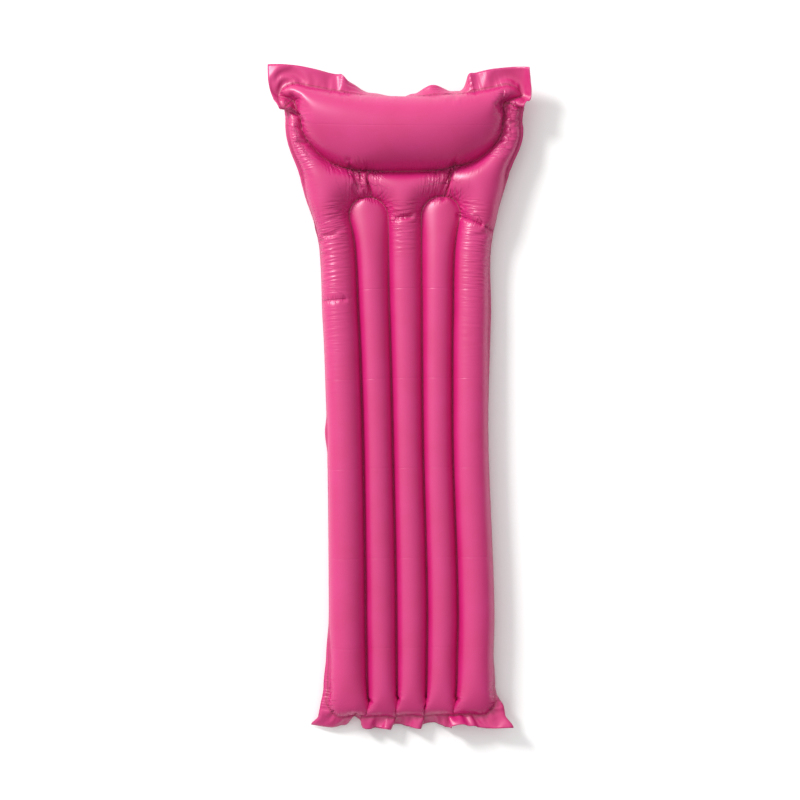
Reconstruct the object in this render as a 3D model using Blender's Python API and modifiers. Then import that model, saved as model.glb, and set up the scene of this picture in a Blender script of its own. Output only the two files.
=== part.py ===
"""Pool air mattress: two sheets of thin vinyl film welded into five lengthwise tubes and a pillow.

The frame: +Z up, +Y towards the pillow, +X to the right of a person who looks down on it with the
pillow at the top. The origin is under the middle of the mattress, on the ground.
Lengths are in metres.
"""

import bmesh
import bpy
import math
import numpy as np
from mathutils import Matrix, Vector
from mathutils.geometry import delaunay_2d_cdt

# The inflated mattress
MAT_LENGTH = 1.764
OUTER_TUBE = 0.0942
INNER_TUBE = 0.0794
SHOULDER_FLARE_LENGTH = 0.350
SHOULDER_FLARE_POWER = 1.8
FOOT_FLARE = 0.010
FOOT_FLARE_LENGTH = 0.220
FILM = 0.0003
SHEET_GAP = 0.0003
GROUND_FLAT = 0.0005

# The welds and the flat flange outside them
WELD_BAND = 0.004
SIDE_FLANGE = 0.008
FOOT_FLANGE = 0.036
CORNER_FLANGE = 0.028
FOOT_CORNER = 0.044
FOOT_CORNER_LENGTH = 0.130

# The two inner tubes that end in a rounded tip below the pillow
FINGER_TIP_BELOW_FOLD = 0.057
FINGER_INNER_SPREAD = 0.004
FINGER_OUTER_SPREAD = 0.026
FINGER_SPREAD_LENGTH = 0.470

# The pillow, and the line where it folds against the tubes. The sheet is cut to fit the pillow.
FOLD_GAP = 0.0008
FOLD_BAND = 0.004
PILLOW_WIDTH = 0.545
PILLOW_THICKNESS = 0.135
PILLOW_LOWER_REACH = 0.148
PILLOW_UPPER_REACH = 0.052
PILLOW_UPPER_RISE = 0.026
PILLOW_LOWER_POWER = 3.0
PILLOW_UPPER_POWER = 16.0
SHOULDER_MARGIN = 0.0015
HEAD_MARGIN = 0.0725
TOP_FLANGE = 0.010
TOP_CORNER_RISE = 0.062
TOP_EDGE_LOW_SHARE = 0.09
TOP_EDGE_RISE_SHARE = 0.37
TOP_CORNER_CUT = 0.012
LIFT_LENGTH = 0.300
LOBE_CORNER_RISE = 0.045
LOBE_CORNER_OVERLAP = 0.020

# A push-in stem valve with a tethered stopper
VALVE_TILT = math.radians(45)
VALVE_FLANGE_RADIUS = 0.0120
VALVE_FLANGE_THICKNESS = 0.0008
VALVE_FLAT_MARGIN = 0.0015
NECK_WALL = 0.0010
NECK_HEIGHT = 0.0020
FIT_GAP = 0.0003
STEM_BORE_RADIUS = 0.0042
STEM_WALL = 0.0015
STEM_LENGTH_BELOW_COLLAR = 0.0150
COLLAR_OVERHANG = 0.0018
COLLAR_THICKNESS = 0.0012
LIP_OVERHANG = 0.0011
LIP_THICKNESS = 0.0010
STOPPER_CAP_RADIUS = 0.0062
STOPPER_CAP_THICKNESS = 0.0012
PLUG_DEPTH = 0.0045
PLUG_TAPER = 0.0009
STRAP_WIDTH = 0.0040
STRAP_THICKNESS = 0.0008
STRAP_ROLL_RADIUS = 0.0007
FLAP_OVERLAP = 0.0010
FLAP_THICKNESS = 0.0005
NECK_ROUND = 0.0002
EDGE_ROUND = 0.0003
STRAP_ROOT_SHARE = 0.7
STRAP_ROLL_STEPS = 9
ROUND_STEPS = 24

# Where the valves are: the first in the left shoulder, the second at the head end of the pillow
MAIN_VALVE_BELOW_FOLD = 0.140
PILLOW_VALVE_X = 0.120

# Points across one tube, as shares of its width: close together at the welds, where the film is
# steep, with a pair about the middle for the strip that lies flat on the ground
TUBE_SHARES_BELOW = (0.05, 0.2, 0.42, 0.58, 0.8, 0.95)
TUBE_SHARES_ABOVE = (0.05, 0.24, 0.5, 0.76, 0.95)

# How fine the film's triangles are
BLUNT_SHARE = 0.05
POINT_CLEARANCE = 0.0025
VALVE_POINT_MARGIN = 0.004
FOOT_ROWS = (0.005, 0.016, 0.036, 0.080)
FLARE_ROWS = 4
TIP_STEPS = 9
TIP_SHARES = (0.9, 0.6)
TIP_MIDDLE = 0.84
TIP_CLEARANCE = 0.007
SHOULDER_SIDE_ROWS = (-0.022, 0.0)
SHOULDER_SIDE_SHARES = (0.06, 0.24, 0.5, 0.76)
SHOULDER_MIDDLE_ROWS = (-0.018, 0.004)
SHOULDER_MIDDLE_SHARES = (-0.7, -0.24, 0.24, 0.7)
SHOULDER_ROWS = (0.0465, 0.034, 0.018)
SHOULDER_STATIONS = (0.0, 0.17, 0.34, 0.51, 0.68, 0.85, 0.97)
EDGE_STATIONS = 7
RING_STEPS = 16
SEAM_STATIONS = 31
PILLOW_SHARES = (0.05, 0.19, 0.41, 0.69)
PILLOW_SPINE_INSET = 0.095
SPINE_STATIONS = 19
LOBE_START = 0.26
LOBE_SHARES = (0.1, 0.35, 0.65, 0.9)

SHOULDER_WIDTH = PILLOW_WIDTH + 2 * SHOULDER_MARGIN
HEAD_WIDTH = PILLOW_WIDTH + 2 * HEAD_MARGIN
PILLOW_LENGTH = PILLOW_LOWER_REACH + PILLOW_UPPER_REACH
HEAD_LENGTH = FOLD_BAND + PILLOW_LENGTH + TOP_FLANGE + TOP_CORNER_RISE
FOLD_Y = MAT_LENGTH / 2 - HEAD_LENGTH
FOOT_Y = -MAT_LENGTH / 2
FOOT_WELD_Y = FOOT_Y + FOOT_FLANGE
GROOVE_INNER = INNER_TUBE / 2
GROOVE_OUTER = 1.5 * INNER_TUBE
ROW_HALF = GROOVE_OUTER + OUTER_TUBE
TIP_Y = FOLD_Y - FINGER_TIP_BELOW_FOLD
HEAD_Z = PILLOW_THICKNESS / 2 - GROUND_FLAT
PILLOW_Y = FOLD_Y + FOLD_BAND + PILLOW_LOWER_REACH
SHEET_OFFSET = SHEET_GAP / 2 + FILM

FILM_PINK = (0.80, 0.055, 0.31, 1.0)
FILM_PINK_BELOW = (0.72, 0.045, 0.27, 1.0)
VALVE_WHITE = (0.83, 0.80, 0.80, 1.0)
VALVE_CLEAR = (0.90, 0.88, 0.88, 1.0)


def smooth_step(t):
    t = np.clip(t, 0.0, 1.0)
    return t * t * (3.0 - 2.0 * t)


# Plan outlines


def side_weld(y):
    """Half the width between the two side welds at y, up to the fold."""
    flare = np.clip((y - FOLD_Y) / SHOULDER_FLARE_LENGTH + 1.0, 0.0, 1.0) ** SHOULDER_FLARE_POWER
    foot = smooth_step((FOOT_WELD_Y + FOOT_FLARE_LENGTH - y) / FOOT_FLARE_LENGTH)
    return ROW_HALF + (SHOULDER_WIDTH / 2 - ROW_HALF) * flare + FOOT_FLARE * foot


def side_edge(y):
    """Half the width of the sheet at y, up to the fold; it widens into the two foot corners."""
    corner = smooth_step((FOOT_Y + FOOT_CORNER_LENGTH - y) / FOOT_CORNER_LENGTH)
    return side_weld(y) + SIDE_FLANGE + (FOOT_CORNER - SIDE_FLANGE) * corner


def head_share(y):
    return np.clip((y - FOLD_Y) / HEAD_LENGTH, 0.0, 1.0)


def head_edge(y):
    """Half the width of the sheet beside the pillow."""
    start = SHOULDER_WIDTH / 2 + SIDE_FLANGE
    return start + (HEAD_WIDTH / 2 - start) * head_share(y)


def head_weld(y):
    """Half the width between the side welds beside the pillow."""
    return head_edge(y) - SIDE_FLANGE - (CORNER_FLANGE - SIDE_FLANGE) * head_share(y)


def groove_inner(y):
    spread = np.clip((y - TIP_Y) / FINGER_SPREAD_LENGTH + 1.0, 0.0, 1.0) ** 2
    return GROOVE_INNER + FINGER_INNER_SPREAD * spread


def groove_outer(y):
    spread = np.clip((y - TIP_Y) / FINGER_SPREAD_LENGTH + 1.0, 0.0, 1.0) ** 2
    return GROOVE_OUTER + FINGER_OUTER_SPREAD * spread


def pillow_below(x, inset=0.0):
    """The pillow's lower seam: a superellipse, flat in the middle and round at the ends."""
    share = np.clip(np.abs(x) / (PILLOW_WIDTH / 2 - inset), 0.0, 1.0)
    return PILLOW_Y - (PILLOW_LOWER_REACH - inset) * np.sqrt(1.0 - share**PILLOW_LOWER_POWER)


def pillow_above(x, inset=0.0):
    """The pillow's upper seam: it rises towards tight round corners."""
    share = np.clip(np.abs(x) / (PILLOW_WIDTH / 2 - inset), 0.0, 1.0)
    reach = PILLOW_UPPER_REACH - inset + PILLOW_UPPER_RISE * share**2
    return PILLOW_Y + reach * np.sqrt(1.0 - share**PILLOW_UPPER_POWER)


def top_edge(x):
    """The sheet's edge above the pillow: low in the middle, high at the two corners."""
    rise = smooth_step((np.abs(x) / PILLOW_WIDTH - TOP_EDGE_LOW_SHARE) / TOP_EDGE_RISE_SHARE)
    low = PILLOW_Y + PILLOW_UPPER_REACH + TOP_FLANGE
    return low + (MAT_LENGTH / 2 - low) * rise


def middle_height(x, y):
    """How high the welds lie: at the tubes' radius, rising to half the pillow's thickness."""
    across = smooth_step((np.abs(x) - INNER_TUBE) / (GROOVE_OUTER + OUTER_TUBE / 2 - INNER_TUBE))
    inner, outer = INNER_TUBE - WELD_BAND, OUTER_TUBE - WELD_BAND / 2
    tubes = (inner + (outer - inner) * across) / 2 - GROUND_FLAT
    along = smooth_step((y - (FOLD_Y - FOLD_BAND * 4)) / LIFT_LENGTH + 1.0)
    return tubes + (HEAD_Z - tubes) * along


# A flat sketch of one half of the mattress: points, welded or free, and the weld lines


class Sketch:
    def __init__(self, valve=None):
        self.points = []
        self.welded = []
        self.lines = []
        self.valve = valve

    def add(self, x, y, welded):
        self.points.append((float(x), float(y)))
        self.welded.append(welded)
        return len(self.points) - 1

    def add_line(self, points, closed=False, welded=True):
        first = len(self.points)
        for x, y in points:
            self.add(x, y, welded)
        last = len(self.points) - 1
        self.lines += [(i, i + 1) for i in range(first, last)]
        if closed:
            self.lines.append((last, first))

    def clear(self, point):
        """Whether a point lies outside the valve's flat round and its margin."""
        if self.valve is None:
            return True
        offset = np.array(point) - self.valve["centre"]
        outward = self.valve["outward"]
        along = offset @ outward / math.cos(VALVE_TILT)
        across = offset @ np.array([-outward[1], outward[0]])
        return math.hypot(along, across) > FLAT_RADIUS + VALVE_POINT_MARGIN

    def add_free(self, points):
        """Adds the points that aren't too near to the valve or to any point so far."""
        for x, y in points:
            held = np.array(self.points)
            gap = np.hypot(held[:, 0] - x, held[:, 1] - y).min()
            if gap >= POINT_CLEARANCE and self.clear((x, y)):
                self.add(x, y, False)

    def add_strand(self, points):
        """Joins free points by edges, apart from those that the valve's flat round takes."""
        last = None
        for point in points:
            if not self.clear(point):
                last = None
                continue
            here = self.add(*point, False)
            if last is not None and self.clear(np.mean([self.points[last], point], axis=0)):
                self.lines.append((last, here))
            last = here

    def add_web(self, spokes):
        """Strands along and across the spokes, here and mirrored over to the left."""
        for strand in list(spokes) + list(zip(*spokes)):
            self.add_strand(strand)
            self.add_strand(mirrored(strand))

    def add_valve_rings(self):
        """The valve's hole and the flat round of film about it, as free points."""
        for radius in (FLAT_RADIUS, HOLE_RADIUS):
            ring = valve_ring(self.valve["centre"], self.valve["outward"], radius, RING_STEPS)
            self.add_line(ring, closed=True, welded=False)


def inside(outline, points):
    """Even-odd test of points against a closed outline."""
    result = np.zeros(len(points), bool)
    ends = np.roll(outline, -1, axis=0)
    for (x0, y0), (x1, y1) in zip(outline, ends):
        if y0 != y1:
            crosses = (y0 > points[:, 1]) != (y1 > points[:, 1])
            at = (x1 - x0) * (points[:, 1] - y0) / (y1 - y0) + x0
            result ^= crosses & (points[:, 0] < at)
    return result


def triangulate(sketch, outline):
    """Triangles between the sketch's points, kept inside the outline."""
    made = delaunay_2d_cdt([Vector(p) for p in sketch.points], sketch.lines, [], 0, 1e-6, True)
    points = np.array([tuple(p) for p in made[0]])
    welded = np.array([any(sketch.welded[i] for i in ids) if ids else True for ids in made[3]])
    faces = np.array([list(f) for f in made[2]])
    centres = points[faces].mean(axis=1)
    faces = faces[inside(np.array(outline), centres)]
    a, b, c = (points[faces[:, k]] for k in range(3))
    area = (b[:, 0] - a[:, 0]) * (c[:, 1] - a[:, 1]) - (b[:, 1] - a[:, 1]) * (c[:, 0] - a[:, 0])
    faces = faces[np.abs(area) > 1e-9]
    area = area[np.abs(area) > 1e-9]
    faces[area < 0] = faces[area < 0][:, ::-1]
    return points, welded, faces


def inflated_height(points, welded, faces):
    """Half the thickness of the air at each point.

    A film held at its welds and blown up takes the height sqrt(2 u), where u has a Laplacian of
    -1 and is 0 at the welds. Between two straight welds that is exactly a half circle. Each
    triangle's area is shared out to its corners by which of them lies nearest, or evenly where
    the triangle is too blunt for that.
    """
    count = len(points)
    a, b, c = (points[faces[:, k]] for k in range(3))
    sides = np.stack([c - b, a - c, b - a], axis=1)
    area = 0.5 * (sides[:, 2, 0] * -sides[:, 1, 1] + sides[:, 2, 1] * sides[:, 1, 0])
    stiffness = np.zeros((count, count))
    shares = np.zeros((len(faces), 3))
    for i in range(3):
        for j in range(3):
            dot = (sides[:, i] * sides[:, j]).sum(axis=1)
            np.add.at(stiffness, (faces[:, i], faces[:, j]), dot / (4.0 * area))
            if i != j:
                other = sides[:, 3 - i - j]
                shares[:, i] -= dot / (16.0 * area) * (other * other).sum(axis=1)
    blunt = shares.min(axis=1) < -BLUNT_SHARE * area
    shares[blunt] = area[blunt, None] / 3.0
    load = np.bincount(faces.ravel(), shares.ravel(), count)
    free = np.flatnonzero(~welded)
    values = np.zeros(count)
    values[free] = np.linalg.solve(stiffness[np.ix_(free, free)], load[free])
    return np.sqrt(2.0 * np.maximum(values, 0.0))


# Valve places: the plane of film that each valve's flange is welded to


def outer_tube_reach(y):
    return (side_weld(y) - groove_outer(y) - WELD_BAND) / 2


def main_valve_centre():
    y = FOLD_Y - MAIN_VALVE_BELOW_FOLD
    x = side_weld(y) - WELD_BAND / 2 - outer_tube_reach(y) * (1.0 - math.sin(VALVE_TILT))
    return np.array([-x, y])


def pillow_valve_centre():
    low = pillow_below(PILLOW_VALVE_X, WELD_BAND)
    high = pillow_above(PILLOW_VALVE_X, WELD_BAND)
    half = (high - low) / 2
    slope = math.tan(VALVE_TILT) * half / (PILLOW_THICKNESS / 2)
    return np.array([PILLOW_VALVE_X, low + half * (1.0 + slope / math.hypot(1.0, slope))])


def valve_ring(centre, outward, radius, steps):
    """A circle on the tilted plane, seen from above: an ellipse, short along outward."""
    turn = np.arange(steps) * 2.0 * math.pi / steps
    across = np.array([-outward[1], outward[0]])
    along = radius * math.cos(VALVE_TILT) * np.cos(turn)
    return centre + along[:, None] * outward + (radius * np.sin(turn))[:, None] * across


MAIN_VALVE = {"centre": main_valve_centre(), "outward": np.array([-1.0, 0.0])}
PILLOW_VALVE = {"centre": pillow_valve_centre(), "outward": np.array([0.0, 1.0])}
STEM_RADIUS = STEM_BORE_RADIUS + STEM_WALL
NECK_RADIUS = STEM_RADIUS + FIT_GAP + NECK_WALL
HOLE_RADIUS = NECK_RADIUS + FIT_GAP
FLAT_RADIUS = VALVE_FLANGE_RADIUS + VALVE_FLAT_MARGIN


# The two halves of the sheet, as sketches


def mirrored(points):
    return [(-x, y) for x, y in points]


def tube_spans(y):
    """The five tubes' edges at y, from left to right."""
    half = WELD_BAND / 2
    inner, outer, side = groove_inner(y), groove_outer(y), side_weld(y)
    return [
        (-side, -outer - half),
        (-outer + half, -inner - half),
        (-inner + half, inner - half),
        (inner + half, outer - half),
        (outer + half, side),
    ]


def tube_grid(rows, shares):
    """For each tube a grid of points: one row for each y, edge points included."""
    shares = np.array((0.0,) + shares + (1.0,))
    return [
        [[(low + (high - low) * share, y) for share in shares] for low, high in spans]
        for spans, y in zip(map(tube_spans, rows), rows)
    ]


def finger_tip(y, extra, steps):
    """An arc over the end of the right-hand finger, extra outside its weld's middle line."""
    inner, outer = groove_inner(y), groove_outer(y)
    centre, radius = (inner + outer) / 2, (outer - inner) / 2 + extra
    turn = np.linspace(0.0, math.pi, steps)
    return [(centre - radius * math.cos(t), y + radius * math.sin(t)) for t in turn]


def body_sketch(shares, valve=None):
    """The five tubes and the shoulder, up to the fold, with the flat round for a valve if any."""
    sketch = Sketch(valve)
    half = WELD_BAND / 2
    arc_y = TIP_Y - (groove_outer(TIP_Y) - groove_inner(TIP_Y)) / 2
    top_y = FOLD_Y - FOLD_GAP / 2
    band_y = FOLD_Y - FOLD_BAND
    near = FOOT_WELD_Y + np.array(FOOT_ROWS + (FOOT_FLARE_LENGTH,))
    flare = np.linspace(FOLD_Y - SHOULDER_FLARE_LENGTH, arc_y, FLARE_ROWS)
    rows = np.concatenate([near, flare])
    edge_rows = np.concatenate([rows, [TIP_Y - 0.020, TIP_Y + 0.005, band_y]])

    # the long lines: the sheet's edges, the side welds and the grooves
    long_lines = [
        (lambda y: side_weld(y), edge_rows, True),
        (lambda y: groove_outer(y) + half, rows, True),
        (lambda y: groove_outer(y) - half, rows, True),
        (lambda y: groove_inner(y) + half, rows, True),
        (lambda y: groove_inner(y) - half, rows, True),
    ]
    for place, heights, welded in long_lines:
        line = [(place(y), y) for y in np.concatenate([[FOOT_WELD_Y], heights])]
        sketch.add_line(line, welded=welded)
        sketch.add_line(mirrored(line), welded=welded)

    # the sheet's outline, once round
    side_rows = np.concatenate([[FOOT_Y, FOOT_WELD_Y], edge_rows])
    right = [(side_edge(y), y) for y in side_rows] + [(side_edge(top_y), top_y)]
    top = [(x, top_y) for x in np.linspace(1.0, -1.0, EDGE_STATIONS)[1:-1] * side_weld(top_y)]
    foot = [(x, FOOT_Y) for x in np.linspace(-1.0, 1.0, EDGE_STATIONS)[1:-1] * side_edge(FOOT_Y)]
    outline = right + top + mirrored(right[::-1]) + foot
    sketch.add_line(outline, closed=True)

    # the foot weld, the fold's weld and the finger tips
    foot_points = [p for tube in tube_grid([FOOT_WELD_Y], TUBE_SHARES_BELOW)[0] for p in tube]
    edge = (side_edge(FOOT_WELD_Y), FOOT_WELD_Y)
    sketch.add_line([(-edge[0], edge[1])] + foot_points + [edge])
    band = [(share * side_weld(band_y), band_y) for share in SHOULDER_STATIONS + (1.0,)]
    sketch.add_line(mirrored(band[:0:-1]) + band)
    for extra in (-half, half):
        arc = finger_tip(arc_y, extra, TIP_STEPS)[1:-1]
        sketch.add_line(arc)
        sketch.add_line(mirrored(arc))

    # the grid of free points across and along the tubes
    grid = tube_grid(rows, shares)
    for tube in range(5):
        for row in grid:
            sketch.add_strand(row[tube])
        for column in range(1, len(shares) + 1):
            strand = [row[tube][column] for row in grid]
            if len(shares) == len(TUBE_SHARES_BELOW):
                strand.insert(0, tube_grid([FOOT_WELD_Y], shares)[0][tube][column])
            sketch.add_strand(strand)

    # free points in the fingers' ends and in the shoulder
    reach = (groove_outer(arc_y) - groove_inner(arc_y)) / 2 - half
    rings = [finger_tip(arc_y, -half, TIP_STEPS)]
    rings += [finger_tip(arc_y, -half - (1.0 - share) * reach, TIP_STEPS) for share in TIP_SHARES]
    sketch.add_web(list(zip(*rings))[1:-1])
    points = finger_tip(arc_y, -half - TIP_MIDDLE * reach, 5)[1:-1]
    points += finger_tip(arc_y, half + TIP_CLEARANCE, TIP_STEPS)[1:-1]
    points += mirrored(points)
    for rise in SHOULDER_SIDE_ROWS:
        side = side_weld(TIP_Y + rise) - half
        spread = side - groove_outer(arc_y)
        row = [(side - spread * share, TIP_Y + rise) for share in SHOULDER_SIDE_SHARES]
        points += row + mirrored(row)
    for rise in SHOULDER_MIDDLE_ROWS:
        points += [(x * groove_inner(arc_y), TIP_Y + rise) for x in SHOULDER_MIDDLE_SHARES]
    levels = [band_y] + [TIP_Y + rise for rise in SHOULDER_ROWS]
    sketch.add_web([[(share * side_weld(y), y) for y in levels] for share in SHOULDER_STATIONS])
    if valve:
        sketch.add_valve_rings()
    sketch.add_free(points)
    return sketch, outline


def between(start, end, shares):
    """Points on the straight line from start to end, at those shares of its length."""
    return [tuple((1.0 - share) * np.array(start) + share * np.array(end)) for share in shares]


def spaced(line, count):
    """The line again, as that many points a like distance apart."""
    line = np.array(line)
    along = np.concatenate([[0.0], np.cumsum(np.hypot(*np.diff(line, axis=0).T))])
    at = np.linspace(0.0, along[-1], count)
    return list(zip(np.interp(at, along, line[:, 0]), np.interp(at, along, line[:, 1])))


def right_seam(inset):
    """The right-hand half of the pillow's seam: from the middle of its lower side, round its end,
    to the middle of its upper side."""
    x = (PILLOW_WIDTH / 2 - inset) * np.sin(np.linspace(0.0, math.pi / 2, 91))
    below = list(zip(x, pillow_below(x, inset)))
    above = list(zip(x, pillow_above(x, inset)))
    return spaced(below + above[-2::-1], SEAM_STATIONS)


def pillow_spine(x):
    return x, (pillow_below(x) + pillow_above(x)) / 2


def lobe_welds():
    """The right-hand lobe's two edges: the pillow's seam on its inside, and on its outside the
    weld along the fold, up the side and over to the pillow's corner."""
    fold_y = FOLD_Y + FOLD_BAND
    top_y = PILLOW_Y + LOBE_CORNER_RISE
    start_x = PILLOW_WIDTH * LOBE_START
    end_x = PILLOW_WIDTH / 2 - LOBE_CORNER_OVERLAP
    end_y = pillow_above(end_x) + WELD_BAND
    corner = (head_weld(fold_y), fold_y)
    turn = np.linspace(0.0, math.pi / 2, 9)
    arc_x = end_x + (head_weld(top_y) - end_x) * np.cos(turn)
    arc_y = top_y + (end_y - top_y) * np.sin(turn)
    inner = [(x, y) for x, y in right_seam(0.0) if x > (start_x if y < PILLOW_Y else end_x)]
    outer = spaced([(start_x, fold_y), corner] + list(zip(arc_x, arc_y)), len(inner))
    nearest = min(range(len(outer)), key=lambda i: math.dist(outer[i], corner))
    outer[nearest] = corner
    return inner, outer


def head_sketch(valve=None):
    """The pillow, the lobes of the main chamber beside it and the wide flange, above the fold."""
    sketch = Sketch(valve)
    low_y = FOLD_Y + FOLD_GAP / 2

    # the sheet's outline
    rise = np.linspace(0.0, 1.0, 7)
    right = [(head_edge(y), y) for y in low_y + rise * (MAT_LENGTH / 2 - TOP_CORNER_CUT - low_y)]
    top = [(x, top_edge(x)) for x in np.linspace(1.0, -1.0, 19)[1:-1] * HEAD_WIDTH / 2]
    bottom = [(x, low_y) for x in np.linspace(-1.0, 1.0, 13)[1:-1] * head_weld(low_y)]
    outline = right + top + mirrored(right[::-1]) + bottom
    sketch.add_line(outline, closed=True)

    # the pillow's seam, a band between two closed lines, and the welds outside the lobes
    for inset in (0.0, WELD_BAND):
        seam = right_seam(inset)
        sketch.add_line(seam + mirrored(seam[-2:0:-1]), closed=True)
    inner, outer = lobe_welds()
    sketch.add_line(outer)
    sketch.add_line(mirrored(outer))

    # free points: rings in the pillow that close in to a line along its middle, and the lobes
    end = PILLOW_WIDTH / 2 - PILLOW_SPINE_INSET
    spokes = [
        between(seam, pillow_spine(min(seam[0], end)), (0.0,) + PILLOW_SHARES)
        for seam in right_seam(WELD_BAND)
    ]
    sketch.add_web(spokes)
    sketch.add_web([between(*ends, (0.0,) + LOBE_SHARES + (1.0,)) for ends in zip(inner, outer)])
    if valve:
        sketch.add_valve_rings()
    sketch.add_free([pillow_spine(x) for x in np.linspace(-end, end, SPINE_STATIONS)])
    return sketch, outline


# Solids


def clear_scene():
    for item in list(bpy.data.objects):
        bpy.data.objects.remove(item, do_unlink=True)


def material(name, colour, roughness):
    made = bpy.data.materials.new(name)
    made.use_nodes = True
    shader = made.node_tree.nodes["Principled BSDF"]
    shader.inputs["Base Color"].default_value = colour
    shader.inputs["Roughness"].default_value = roughness
    shader.inputs["Metallic"].default_value = 0.0
    made.diffuse_color = colour
    return made


def new_object(name, mesh, collection, finish=None):
    made = bpy.data.objects.new(name, mesh)
    collection.objects.link(made)
    if finish:
        mesh.materials.append(finish)
    return made


def pivot_empty(name, place, collection, parent=None):
    """An empty on a joint's axis, which carries the pieces that move there."""
    made = bpy.data.objects.new(name, None)
    made.empty_display_size = 0.02
    made.location = place
    collection.objects.link(made)
    if parent:
        attach(made, parent)
    return made


def attach(child, parent):
    """Parents an object and leaves it where it is."""
    bpy.context.view_layer.update()
    child.parent = parent
    child.matrix_parent_inverse = parent.matrix_world.inverted()


def film_heights(points, height, top):
    """Height above the ground of the outer face of one sheet."""
    middle = middle_height(points[:, 0], points[:, 1])
    if top:
        return middle + SHEET_OFFSET + height
    return np.maximum(middle - SHEET_OFFSET - height, 0.0)


def seat_valve(points, heights, valve):
    """Lays the film flat about the valve, and gives the middle of the flat and the way out."""
    offset = points - valve["centre"]
    along = offset @ valve["outward"]
    across = offset @ np.array([-valve["outward"][1], valve["outward"][0]])
    far = np.hypot(along / math.cos(VALVE_TILT), across)
    flat = far < FLAT_RADIUS * 1.02
    level = float((heights[flat] - along[flat] * math.tan(VALVE_TILT)).mean())
    heights[flat] = level + along[flat] * math.tan(VALVE_TILT)
    place = Vector((valve["centre"][0], valve["centre"][1], level))
    out = Vector((*(valve["outward"] * math.sin(VALVE_TILT)), -math.cos(VALVE_TILT)))
    return place, out, far < HOLE_RADIUS * 1.02


def film(name, collection, finish, shape, top, parent, valve=None):
    """One sheet of film: its outer face, thickened inwards."""
    points, faces, height = shape
    heights = film_heights(points, height, top)
    seat = None
    if valve:
        place, out, in_hole = seat_valve(points, heights, valve)
        faces = faces[~in_hole[faces].all(axis=1)]
        seat = (place, out)
    if not top:
        faces = faces[:, ::-1]
    used, faces = np.unique(faces, return_inverse=True)
    coordinates = np.c_[points, heights][used]
    mesh = bpy.data.meshes.new(name)
    mesh.from_pydata(coordinates.tolist(), [], faces.reshape(-1, 3).tolist())
    mesh.shade_smooth()
    made = new_object(name, mesh, collection, finish)
    wall = made.modifiers.new("film thickness", "SOLIDIFY")
    wall.thickness = FILM
    wall.offset = -1.0
    wall.use_even_offset = False
    attach(made, parent)
    return seat


def turned(name, profile, collection, finish):
    """A turned solid: a closed profile at +X, which runs down its outer side."""
    mesh = bpy.data.meshes.new(name)
    closed = [(i, (i + 1) % len(profile)) for i in range(len(profile))]
    on_axis = profile[0][0] == 0.0 and profile[-1][0] == 0.0
    mesh.from_pydata([(r, 0.0, z) for r, z in profile], closed[:-1] if on_axis else closed, [])
    made = new_object(name, mesh, collection, finish)
    screw = made.modifiers.new("turn", "SCREW")
    screw.steps = ROUND_STEPS
    screw.render_steps = ROUND_STEPS
    screw.use_merge_vertices = True
    screw.merge_threshold = 0.00001
    screw.use_smooth_shade = True
    screw.use_normal_calculate = False
    return made


def rounded(corners, radius, steps=1):
    """The corners of a profile, each cut off by that radius."""
    result = []
    count = len(corners)
    for i, (x, z) in enumerate(corners):
        before = Vector(corners[i - 1]) - Vector((x, z))
        after = Vector(corners[(i + 1) % count]) - Vector((x, z))
        if x == 0.0:
            result.append((x, z))
            continue
        cut = min(radius, before.length * 0.4, after.length * 0.4)
        start = Vector((x, z)) + before.normalized() * cut
        end = Vector((x, z)) + after.normalized() * cut
        for k in range(steps + 1):
            t = k / steps
            bend = (1 - t) ** 2 * start + 2 * t * (1 - t) * Vector((x, z)) + t**2 * end
            result.append((bend.x, bend.y))
    return result


def strap_mesh(name, collection, outline, width):
    """A strap's side outline in X and Z, pushed out along Y to its width, as one closed mesh."""
    curve = bpy.data.curves.new(name, "CURVE")
    curve.dimensions = "2D"
    curve.fill_mode = "BOTH"
    curve.extrude = width / 2
    spline = curve.splines.new("POLY")
    spline.points.add(len(outline) - 1)
    for point, (x, z) in zip(spline.points, outline):
        point.co = (x, z, 0.0, 1.0)
    spline.use_cyclic_u = True
    guide = bpy.data.objects.new(name + "_curve", curve)
    collection.objects.link(guide)
    guide.rotation_euler = (math.pi / 2, 0.0, 0.0)
    bpy.context.view_layer.update()
    graph = bpy.context.evaluated_depsgraph_get()
    mesh = bpy.data.meshes.new_from_object(guide.evaluated_get(graph))
    mesh.transform(guide.matrix_world)
    bpy.data.objects.remove(guide)
    work = bmesh.new()
    work.from_mesh(mesh)
    bmesh.ops.remove_doubles(work, verts=work.verts, dist=1e-6)
    bmesh.ops.recalc_face_normals(work, faces=work.faces)
    work.to_mesh(mesh)
    work.free()
    return mesh


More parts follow.
